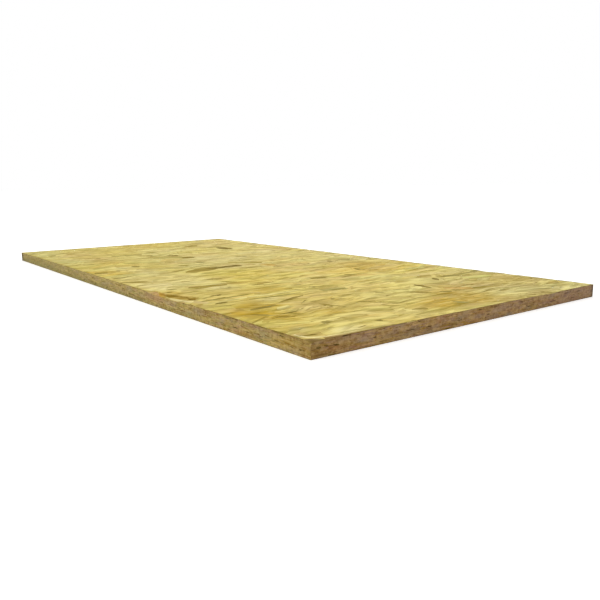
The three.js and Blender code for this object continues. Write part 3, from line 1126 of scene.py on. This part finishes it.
# %% Gaps between the strands of an edge
GAP_SPACING = 27  # mm
GAP_LONG, GAP_TALL, GAP_DEEP = (5, 19), (0.8, 2), (1.5, 5)  # mm, strands and mm, smallest and largest
GAP_FLOOR = 0.3  # mm that a gap stays clear of the mitred back
SKIN = 2  # mm of tight strands above and below the gaps


def gap_outlines(side):
    """The gaps' outlines, (gaps, 8, 2), and their depths. A gap is upright at one end, where t is 0, and
    closes to a point at the other, where t is 1 and an upper strand bends down onto a lower one. There it
    is 0.9 t (1 - t) + t squared of its length along, and half of 1 - t squared of its height up and
    down."""
    usable = 2 * side_frame(side)[2] - 2 * CORNER_CLEAR
    count = int(usable // GAP_SPACING)
    i = np.arange(count)
    k = COUNTS * side + i
    length = between(*GAP_LONG, k, 2)
    along = -usable / 2 + (i + share(k, 1)) * usable / count
    along = along.clip(-usable / 2 + length / 2, usable / 2 - length / 2)
    tall = STRAND_THICKNESS * between(*GAP_TALL, k, 3)
    deep = between(*GAP_DEEP, k, 4)
    up = between(SKIN, THICKNESS - SKIN, k, 1.5) - THICKNESS / 2
    t = np.array([0, 0.3, 0.6, 0.85, 1, 0.85, 0.6, 0.3])
    upper_side = np.array([-1, -1, -1, -1, 0, 1, 1, 1])
    x = (0.9 * t * (1 - t) + t**2) - 0.5
    z = upper_side * (1 - t**2) / 2
    handed = np.where(i % 2, length, -length)
    outline = np.stack([along[:, None] + handed[:, None] * x, up[:, None] + tall[:, None] * z], -1)
    outline[i % 2 == 0] = outline[i % 2 == 0, ::-1]
    room = (THICKNESS / 2 - np.abs(up) - tall / 2) * EDGE_MITRE[2] / EDGE_MITRE[1]
    return outline, np.minimum(deep, room - GAP_FLOOR)


def gap_values(gaps, deep):
    """The same values as sections have, from the gaps' outlines and depths."""
    return {
        "middle": gaps.mean(1),
        "angle": np.zeros(len(deep)),
        "half_long": np.ptp(gaps[:, :, 0], 1) / 2,
        "half_wide": np.ptp(gaps[:, :, 1], 1) / 2,
        "pinched": np.zeros(len(deep)),
        "tint": np.tile(EDGE_SHADOW, (len(deep), 1)),
        "sunk": deep,
    }


print(f"{sum(len(gap_outlines(side)[1]) for side in range(4))} gaps in the edges")

# %% Marks on the two near edges, by colour: along, height from the middle, reach both ways in mm, strength
EDGE_STAINS = {
    "bright": "#c4b074",
    "grey_olive": "#a39c66",
    "olive": "#8c8a56",
    "tan": "#b8916a",
    "mauve": "#a28474",
    "gold": "#aa842e",
    "brown": "#90703c",
    "shade": "#4b4436",
}
EDGE_ZONES = [
    placed_zones({
        "bright": [(-420, 9.5, 260, 2.2, 0.5), (-60, 9.5, 180, 1.8, 0.4)],
        "grey_olive": [
            (-420, 2, 330, 14, 0.5), (60, 3, 300, 9, 0.2), (318, -5, 34, 4, 0.5), (520, 4, 20, 3, 0.5),
        ],
        "olive": [(-480, -6, 260, 5, 0.6), (-120, -8, 200, 4, 0.5), (140, -8.5, 160, 3.5, 0.45)],
        "tan": [(205, 3, 34, 6, 0.6), (231, 4, 20, 4, 0.5), (461, -5, 22, 4, 0.5)],
        "mauve": [(500, 7, 24, 3, 0.5)],
        "gold": [(476, -6, 16, 3, 0.5), (560, 0, 30, 6, 0.4), (598, -1, 9, 4, 0.6)],
        "brown": [
            (375, 5, 30, 4, 0.5), (606, 3, 22, 10, 0.45), (580, 8.5, 60, 3, 0.5), (440, 9, 60, 2.6, 0.35),
        ],
        "shade": [(-613, 0, 20, 40, 0.9)],
    }, EDGE_STAINS),
    placed_zones({
        "mauve": [(-228, 3, 22, 4, 0.5), (60, 2, 60, 5, 0.4), (280, 0, 130, 40, 0.55)],
        "gold": [(-300, -1, 9, 5, 0.5), (-250, 1, 16, 4, 0.4)],
        "brown": [(-150, -3, 40, 4, 0.4), (-301, 1, 22, 10, 0.5), (21, 8, 26, 4, 0.6)],
        "shade": [(307, 0, 9, 40, 0.85)],
    }, EDGE_STAINS),
    [], [],
]
# gaps and grooves of the near edges: real hollows, whose dark colours are partly painted shade
EDGE_MARKS = {"gap": "#61461e", "groove": "#77622c"}
EDGE_STRIPS = [  # by colour: from along, height to along, height, width, depth
    {
        "gap": [(589, -3.4, 600, -2.4, 2.4, 0.8), (445, 9.4, 460, 8.6, 2.2, 0.5)],
        "groove": [
            (503, 9.8, 522, 9.2, 2.0, 0.5), (540, 9.6, 562, 9.3, 2.0, 0.5), (418, -4, 430, -4, 1.6, 0.4),
            (540, -1.5, 554, -2, 1.8, 0.4),
        ],
    },
    {
        "gap": [
            (-297, 1.8, -290, 1.2, 2.6, 0.8), (-286, 2.4, -279, 2, 1.6, 0.4),
            (-272, 1.5, -262, 0, 2.0, 0.5), (-280, -9.6, -266, -9.8, 1.6, 0.4),
            (-78, -9.4, -66, -9.6, 1.8, 0.5),
        ],
    },
]

print(f"{len(EDGE_ZONES[0]) + len(EDGE_ZONES[1])} stains on the two near edges")

# %% Build the sawn edges
EDGE_TILES = (8, 6, 8, 6)  # map tiles of each edge
TILE_SPARE = 1.0  # mm that the tiles reach past the edge, since its outline has steps
SECTION_STOPS = (-0.85, 0.0, 0.85)  # corners of a section's sides, in half lengths
SECTION_BOW, SECTION_RAGGED = 0.1, 0.04  # spreads, as on the faces
UNCOVERED = 0.15  # mm deep, between the sections
GLUE_BROWN = linear("#86693a")


def edge_zones(side, half):
    """Soft zones of an edge: scattered blotches, and the listed ones."""
    count = int(EDGE_DRIFTS * 2 * half[0])
    return drifts(count, half, EDGE_REACH, BLOTCHES[side % 2], EDGE_STRENGTH) + EDGE_ZONES[side]


def edge_surface(side):
    """One sawn edge, drawn in the plane of along and up, with its depth as height."""
    half = np.array([side_frame(side)[2], THICKNESS / 2])
    lower_side = border_path(lower, side, lower_to_world)
    upper_side = border_path(upper, side, upper_to_world)
    region = np.concatenate([lower_side, upper_side[::-1]])
    strands = sawn_strands(side, half)
    count = len(strands["sunk"])
    if side < len(EDGE_STRIPS):
        strands = joined([strands, hand_placed(EDGE_STRIPS[side], EDGE_MARKS)])
    loops = strand_loops(strands, SECTION_STOPS, SECTION_BOW, SECTION_RAGGED)
    gaps, deep = gap_outlines(side)
    strands = joined([strands, gap_values(gaps, deep)])
    cells = grid_cells(half, EDGE_TILES[side], 1, spare=TILE_SPARE)
    points, triangles, cell, top = drawing(cells, region, np.zeros((0, 2)), [*loops, *gaps])
    flat, source, strand, corners = split_by_strand(points, triangles, top)
    walls, wall_cell = step_walls(corners, source, strand, cell)
    height = -np.append(strands["sunk"], UNCOVERED)[strand]
    height[np.isin(source, np.concatenate(border_edges(list(source[corners]))))] = 0
    values = strand_values(flat, strand, strands, GLUE_BROWN)
    takes = (strand >= 0) & (strand < count)
    values["tint"][takes] = zoned(values["tint"][takes], flat[takes], edge_zones(side, half))
    values["sunk"] = -height
    return {
        "corners": np.column_stack([flat, height]),
        "source": source,
        "faces": list(corners) + [np.array(f) for f in wall_faces(walls, source, height)],
        "cell": np.concatenate([cell, wall_cell]),
        "values": values,
        "half": half,
        "mitre": EDGE_MITRE,
        "tiles": tile_map(half, EDGE_TILES[side], 1),
    }


def edge_to_world(side):
    """Gives a function that stands a side's drawing upright at its place."""
    run, outward, _, out = side_frame(side)

    def place(places):
        plan = places[:, :1] * run + (out + places[:, 2:]) * outward
        return np.column_stack([plan, places[:, 1] + THICKNESS / 2])

    return place


edges = [edge_surface(side) for side in range(4)]
for side, edge in enumerate(edges):
    print(f"edge {side}: {len(edge['faces'])} faces")

# %% [markdown]
# ## Materials
# The corners already carry each strand's tint, and where a spot lies along and across its strand. So the
# grain can follow every strand, which a pattern laid over the whole panel couldn't do. A material adds what
# is too fine for the mesh: fibres, latewood lines, darker outlines and hollows, and ripples.

# %% One helper that adds a node
def add(tree, kind, sockets, **settings):
    """Adds a node, sets its properties, and fills its sockets. A socket's key is its name or its number,
    and its value is either another node's output, which is linked, or a plain value."""
    made = tree.nodes.new(kind)
    for key, value in settings.items():
        setattr(made, key, value)
    for key, value in sockets.items():
        if isinstance(value, bpy.types.NodeSocket):
            tree.links.new(value, made.inputs[key])
        else:
            made.inputs[key].default_value = value
    return made.outputs


SMOOTH = {"interpolation_type": "SMOOTHSTEP"}  # Map Range sockets: value, low and high in, low and high out
COLOURS = {"data_type": "RGBA"}  # Mix sockets for colours: 0 factor, 6 and 7 the colours, and output 2


def new_material(name):
    """A material with its node tree and shader."""
    material = bpy.data.materials.new(name)
    material.use_nodes = True
    return material, material.node_tree, material.node_tree.nodes["Principled BSDF"]


def opaque(hex_colour):
    """A colour with full opacity, for a colour socket."""
    return (*linear(hex_colour), 1.0)


def strand_parts(tree, label):
    """The three parts of a value that the corners carry."""
    whole = add(tree, "ShaderNodeAttribute", {}, attribute_name=label)["Vector"]
    return add(tree, "ShaderNodeSeparateXYZ", {0: whole})


def streaks(tree, along, across, seed, long, wide, detail):
    """Streaks about long by wide mm that follow the strand, from 0 to 1, other ones on each strand."""
    lengthwise = add(tree, "ShaderNodeMath", {0: along, 1: long}, operation="DIVIDE")[0]
    crosswise = add(tree, "ShaderNodeMath", {0: across, 1: wide}, operation="DIVIDE")[0]
    place = add(tree, "ShaderNodeCombineXYZ", {0: lengthwise, 1: crosswise, 2: seed})[0]
    return add(tree, "ShaderNodeTexNoise", {"Vector": place, "Scale": 1.0, "Detail": detail})[0]


def stained(tree, colour, stains):
    """Mixes stains into a colour, one after the other. Each has a value, the two limits between which its
    share rises smoothly from 0, its largest share, and its own colour."""
    for value, low, high, most, stain in stains:
        part = add(tree, "ShaderNodeMapRange", {0: value, 1: low, 2: high, 3: 0.0, 4: most}, **SMOOTH)[0]
        colour = add(tree, "ShaderNodeMix", {0: part, 6: colour, 7: opaque(stain)}, **COLOURS)[2]
    return colour


print("node helpers are ready")

# %% [markdown]
# ## Pressed softwood strands
# The faces are pine or spruce strands, sliced, waxed, glued with a clear resin and pressed hot against a
# steel plate. Softwood has an IOR near 1.5, but its open fibres scatter what a smooth skin of that IOR
# would reflect, so the specular level is close to none and the eye sees a nearly matt face, a little less
# so on the high spots that the plate rubbed. Hollows and the dips between ripples are darkened by painted
# shade as well as by the resin and bark fines that gather there, and the outlines of the strands darken a
# little, partly painted shade and partly resin. A fibre is only some 0.03 mm wide, too fine to show, so
# bundles of 0.9 mm are drawn.

# %% Material of the faces
FIBRES = (30.0, 0.9, 4.0)  # mm long, mm wide, and how finely the streaks are broken up
RINGS, TONES, RIPPLES = (110.0, 3.2, 1.0), (60.0, 14.0, 2.0), (30.0, 10.0, 0.5)  # the same
BROAD_RIPPLES = (24, 60)  # mm along x and y
HOLLOW_FROM, HOLLOW_TO = 0.15, 0.8  # mm below the plate, where the painted shade of a hollow begins and where it is darkest
ROUGH_TO = 0.5  # mm below the plate, where the roughness is highest
CRUMPLE_RELIEF = 1.5  # mm from the lowest to the highest ripple: more than real, so that they show
FIBRE_RELIEF, BROAD_RELIEF = 0.005, 2.4  # of that, for the fibres and for the broad ripples


def pressed_strands():
    """Tint, times fibres, mixed with latewood lines and tones, and darkened at outlines, in hollows and in
    the dips between ripples by painted shade, together with resin.
    """
    material, tree, shader = new_material("pressed_softwood_strands")
    shader.inputs["IOR"].default_value = 1.5
    shader.inputs["Specular IOR Level"].default_value = 0.03
    tint = add(tree, "ShaderNodeAttribute", {}, attribute_name="tint")["Vector"]
    depth = add(tree, "ShaderNodeAttribute", {}, attribute_name="sunk")["Fac"]
    along, across, seed = strand_parts(tree, "grain")
    end, side, _ = strand_parts(tree, "within")

    # fibres, latewood lines, soft tones, and the ripples that the press left, all along the strand
    fibres = streaks(tree, along, across, seed, *FIBRES)
    rings = streaks(tree, along, across, seed, *RINGS)
    tone = streaks(tree, along, across, seed, *TONES)
    crumple = streaks(tree, along, across, seed, *RIPPLES)
    crumple = add(tree, "ShaderNodeMapRange", {0: crumple, 1: 0.36, 2: 0.62, 3: 0.0, 4: 1.0}, **SMOOTH)[0]

    # broad ripples, which pass from strand to strand
    where = add(tree, "ShaderNodeTexCoord", {})["Object"]
    stretched = {0: where, 1: (1 / (BROAD_RIPPLES[0] * MM), 1 / (BROAD_RIPPLES[1] * MM), 1)}
    stretched = add(tree, "ShaderNodeVectorMath", stretched, operation="MULTIPLY")[0]
    broad = add(tree, "ShaderNodeTexNoise", {"Vector": stretched, "Scale": 1.0, "Detail": 0.5})[0]
    broad = add(tree, "ShaderNodeMapRange", {0: broad, 1: 0.32, 2: 0.6, 3: 0.0, 4: 1.0}, **SMOOTH)[0]

    # fibres shade the tint, wood and resin tone it, and painted shade darkens the dips between broad ripples
    shaded = add(tree, "ShaderNodeMapRange", {0: fibres, 1: 0.25, 2: 0.75, 3: 0.95, 4: 1.05}, **SMOOTH)[0]
    colour = add(tree, "ShaderNodeVectorMath", {0: tint, "Scale": shaded}, operation="SCALE")[0]
    colour = stained(tree, colour, [
        (rings, 0.52, 0.66, 0.12, "#b58d42"),  # latewood
        (tone, 0.48, 0.66, 0.36, "#efdf88"),  # cream sapwood
        (tone, 0.5, 0.34, 0.33, "#a8943c"),  # olive, where the resin lies thin
        (broad, 0.35, 0.0, 0.38, "#a98f3a"),  # painted shade in the dips between the broad ripples
    ])

    # painted shade, with resin, at the outlines, in the hollows and in the dips between fine ripples
    off_middle = add(tree, "ShaderNodeMath", {0: side}, operation="ABSOLUTE")[0]
    off_centre = add(tree, "ShaderNodeMath", {0: end}, operation="ABSOLUTE")[0]
    outline = add(tree, "ShaderNodeMapRange", {0: off_middle, 1: 0.7, 2: 1.05, 3: 0.0, 4: 0.08}, **SMOOTH)[0]
    ends = add(tree, "ShaderNodeMapRange", {0: off_centre, 1: 0.93, 2: 1.03, 3: 0.0, 4: 0.1}, **SMOOTH)[0]
    dark = add(tree, "ShaderNodeMath", {0: outline, 1: ends}, operation="MAXIMUM")[0]
    colour = add(tree, "ShaderNodeMix", {0: dark, 6: colour, 7: opaque("#8a6d33")}, **COLOURS)[2]
    hollow = {0: depth, 1: HOLLOW_FROM, 2: HOLLOW_TO, 3: 0.0, 4: 0.65}
    hollow = add(tree, "ShaderNodeMapRange", hollow, **SMOOTH)[0]
    middle = add(tree, "ShaderNodeMapRange", {0: off_middle, 1: 1.0, 2: 0.2, 3: 0.35, 4: 1.0}, **SMOOTH)[0]
    hollow = add(tree, "ShaderNodeMath", {0: hollow, 1: middle}, operation="MULTIPLY")[0]
    colour = add(tree, "ShaderNodeMix", {0: hollow, 6: colour, 7: opaque("#766226")}, **COLOURS)[2]
    colour = stained(tree, colour, [(crumple, 0.4, 0.0, 0.3, "#a08a3c")])
    tree.links.new(colour, shader.inputs["Base Color"])

    # the plate smooths high spots: roughness 0.8 there and 0.95 in hollows
    rough = {0: depth, 1: 0.0, 2: ROUGH_TO, 3: 0.8, 4: 0.95}
    rough = add(tree, "ShaderNodeMapRange", rough, **SMOOTH)[0]
    tree.links.new(rough, shader.inputs["Roughness"])
    relief = {0: fibres, 1: FIBRE_RELIEF, 2: crumple}
    relief = add(tree, "ShaderNodeMath", relief, operation="MULTIPLY_ADD")[0]
    relief = add(tree, "ShaderNodeMath", {0: broad, 1: BROAD_RELIEF, 2: relief}, operation="MULTIPLY_ADD")[0]
    bump = {"Height": relief, "Distance": CRUMPLE_RELIEF * MM, "Strength": 1.0}
    bump = add(tree, "ShaderNodeBump", bump)[0]
    tree.links.new(bump, shader.inputs["Normal"])
    return material


face_board = pressed_strands()
print(face_board.name)

# %% [markdown]
# ## Sawn strand ends
# The same softwood, cut by a saw. It is as matt as the faces, and darker, because end grain drinks light.
# Sections cut along show fibres, and sections cut across show their pores. Both are under 0.05 mm wide, too
# fine to show, so they are drawn as streaks of 0.3 mm and specks of 0.5 mm. A saw tooth leaves faint
# upright scratches. Painted shade darkens the gaps and a band under the upper arris, where resin-rich wood
# darkens it too, and a painted contact shadow with dirt darkens the lower arris.

# %% Material of the edges
SAWN_FIBRES, PORES = (8.0, 0.3, 3.0), (0.5, 0.4, 3.0)  # mm long, mm wide, and how finely broken up
SCRATCHES = (30.0, 1.3, 1.0)  # the same, one saw tooth apart
CUT_ALONG_FROM, CUT_ALONG_TO = 8.0, 13.0  # mm, half lengths of a section over which pores give way to fibres
MOTTLES = 4.5  # mm
UPPER_SHADE_AND_RESIN, LOWER_SHADOW_AND_DIRT = (20.0, 21.2), (1.4, 0.3)  # mm up, from where it begins to where it is darkest: painted shade with resin under the upper arris, and a painted contact shadow with dirt at the lower one
SAW_RELIEF = 0.06  # mm


def sawn_sections():
    """Tint, times fibres or specks, darkened at the glue lines, by painted shade in the gaps and under the
    upper arris, and by a painted contact shadow with dirt at the lower arris, with saw scratches in its
    relief."""
    material, tree, shader = new_material("sawn_strand_ends")
    shader.inputs["IOR"].default_value = 1.5
    shader.inputs["Specular IOR Level"].default_value = 0.06
    shader.inputs["Roughness"].default_value = 0.85
    tint = add(tree, "ShaderNodeAttribute", {}, attribute_name="tint")["Vector"]
    depth = add(tree, "ShaderNodeAttribute", {}, attribute_name="sunk")["Fac"]
    along, across, seed = strand_parts(tree, "grain")
    _, side, half_long = strand_parts(tree, "within")

    # fibres where the section was cut along, and pores where it was cut across
    fibres = streaks(tree, along, across, seed, *SAWN_FIBRES)
    specks = streaks(tree, along, across, seed, *PORES)
    cut_along = {0: half_long, 1: CUT_ALONG_FROM, 2: CUT_ALONG_TO, 3: 0.0, 4: 1.0}
    cut_along = add(tree, "ShaderNodeMapRange", cut_along, **SMOOTH)[0]
    grain = add(tree, "ShaderNodeMix", {0: cut_along, 2: specks, 3: fibres}, data_type="FLOAT")[0]
    shaded = add(tree, "ShaderNodeMapRange", {0: grain, 1: 0.3, 2: 0.7, 3: 0.88, 4: 1.08}, **SMOOTH)[0]
    colour = add(tree, "ShaderNodeVectorMath", {0: tint, "Scale": shaded}, operation="SCALE")[0]

    # the saw tore some fibres out and smeared resin over others
    where = add(tree, "ShaderNodeTexCoord", {})["Object"]
    mottle = {"Vector": where, "Scale": 1 / (MOTTLES * MM), "Detail": 3.0, "Roughness": 0.6}
    mottle = add(tree, "ShaderNodeTexNoise", mottle)[0]
    off_middle = add(tree, "ShaderNodeMath", {0: side}, operation="ABSOLUTE")[0]
    up = add(tree, "ShaderNodeSeparateXYZ", {0: where})["Z"]
    colour = stained(tree, colour, [
        (mottle, 0.48, 0.34, 0.38, "#765420"),  # torn fibres
        (mottle, 0.52, 0.68, 0.35, "#d4b97a"),  # smeared resin
        (off_middle, 0.55, 1.0, 0.06, "#6a4f26"),  # glue lines
        (depth, 0.3, 1.6, 0.75, "#573f1a"),  # painted shade in the gaps, by their depth in mm
        (up, UPPER_SHADE_AND_RESIN[0] * MM, UPPER_SHADE_AND_RESIN[1] * MM, 0.6, "#75612a"),  # olive band under the upper arris: painted shade, with resin-rich wood
        (up, LOWER_SHADOW_AND_DIRT[0] * MM, LOWER_SHADOW_AND_DIRT[1] * MM, 0.5, "#5a4c30"),  # dark band at the lower arris: painted contact shadow, with dirt
    ])
    tree.links.new(colour, shader.inputs["Base Color"])

    # the scratches stand upright, so here long is across the strand and wide is along it
    scratches = streaks(tree, across, along, 0.0, *SCRATCHES)
    relief = add(tree, "ShaderNodeMath", {0: grain, 1: scratches}, operation="ADD")[0]
    bump = add(tree, "ShaderNodeBump", {"Height": relief, "Distance": SAW_RELIEF * MM, "Strength": 0.8})[0]
    tree.links.new(bump, shader.inputs["Normal"])
    return material


edge_board = sawn_sections()
print(edge_board.name)

# %% [markdown]
# ## The twelve pieces
# Each face is cut into its broad strips, and each edge stays whole.

# %% Make the pieces
for label, face, to_world in (("upper", upper, upper_to_world), ("lower", lower, lower_to_world)):
    for strip in range(FACE_STRIPS):
        chosen = np.flatnonzero(face["cell"] // FACE_TILES == strip)
        slab(face, chosen, to_world, f"{label}_face_{strip + 1}", face_board)
for side, label in enumerate(("front", "right", "back", "left")):
    everything = np.arange(len(edges[side]["faces"]))
    slab(edges[side], everything, edge_to_world(side), f"{label}_edge", edge_board)

# %% [markdown]
# ## Floor, light and world
# The panel lies on a pale studio floor. A white sky lights it softly, a strong lamp far behind it skims the
# upper face so that the relief reads, and a weak one in front fills the edges. What the camera sees of
# floor and sky is lifted to white, and the floor keeps the panel's shadow.

# %% Floor
SEEN_LIFT = 0.5  # light added to the floor where it is seen
FLOOR_WHITE = 0.9
FLOOR_REACH = 30.0  # m


def seen_directly(tree):
    """1 for rays from the camera, in a reflection or through glass, and 0 for light on the object."""
    path = add(tree, "ShaderNodeLightPath", {})
    seen = path["Is Camera Ray"]
    for other in ("Is Glossy Ray", "Is Transmission Ray"):
        seen = add(tree, "ShaderNodeMath", {0: seen, 1: path[other]}, operation="MAXIMUM")[0]
    return seen


floor_mesh = bpy.data.meshes.new("studio_floor")
floor_corners = [(x * FLOOR_REACH, y * FLOOR_REACH, 0) for x, y in ((-1, -1), (1, -1), (1, 1), (-1, 1))]
floor_mesh.from_pydata(floor_corners, [], [(0, 1, 2, 3)])
floor = bpy.data.objects.new("studio_floor", floor_mesh)
bpy.context.scene.collection.objects.link(floor)
paper, paper_tree, paper_shader = new_material("matt_white_floor")
paper_shader.inputs["Base Color"].default_value = (FLOOR_WHITE, FLOOR_WHITE, FLOOR_WHITE, 1)
paper_shader.inputs["Roughness"].default_value = 1.0
paper_shader.inputs["Specular IOR Level"].default_value = 0.0
paper_shader.inputs["Emission Color"].default_value = (1, 1, 1, 1)
seen = seen_directly(paper_tree)
lift = add(paper_tree, "ShaderNodeMath", {0: seen, 1: SEEN_LIFT}, operation="MULTIPLY")[0]
paper_tree.links.new(lift, paper_shader.inputs["Emission Strength"])
floor_mesh.materials.append(paper)
print("floor", floor_mesh.name)

# %% World
SKY_LIGHT = 0.62  # strength of the white sky on the panel; what the camera sees of it has 1
world = bpy.data.worlds.new("white_studio")
bpy.context.scene.world = world
world.use_nodes = True
sky = world.node_tree
strength = add(sky, "ShaderNodeMapRange", {0: seen_directly(sky), 3: SKY_LIGHT, 4: 1.0})[0]
sky.nodes["Background"].inputs["Color"].default_value = (1, 1, 1, 1)
sky.links.new(strength, sky.nodes["Background"].inputs["Strength"])
print("sky", world.name)


# %% Lamps
def lamp(name, place, aim, size, power):
    """A square area lamp with its size, place and aim in metres, and its power in watts."""
    data = bpy.data.lights.new(name, "AREA")
    data.size = size
    data.energy = power
    made = bpy.data.objects.new(name, data)
    made.location = place
    made.rotation_mode = "QUATERNION"
    made.rotation_quaternion = (Vector(aim) - Vector(place)).to_track_quat("-Z", "Y")
    bpy.context.scene.collection.objects.link(made)


lamp("skimming_lamp", place=(-3.2, 4.4, 2.42), aim=(0, 0, 0), size=2.0, power=270)
lamp("front_fill", place=(0.3, -2.6, 1.2), aim=(0, 0, 0), size=1.5, power=20)
bpy.context.scene.view_settings.view_transform = "Standard"
print(f"{len(bpy.data.lights)} lamps")
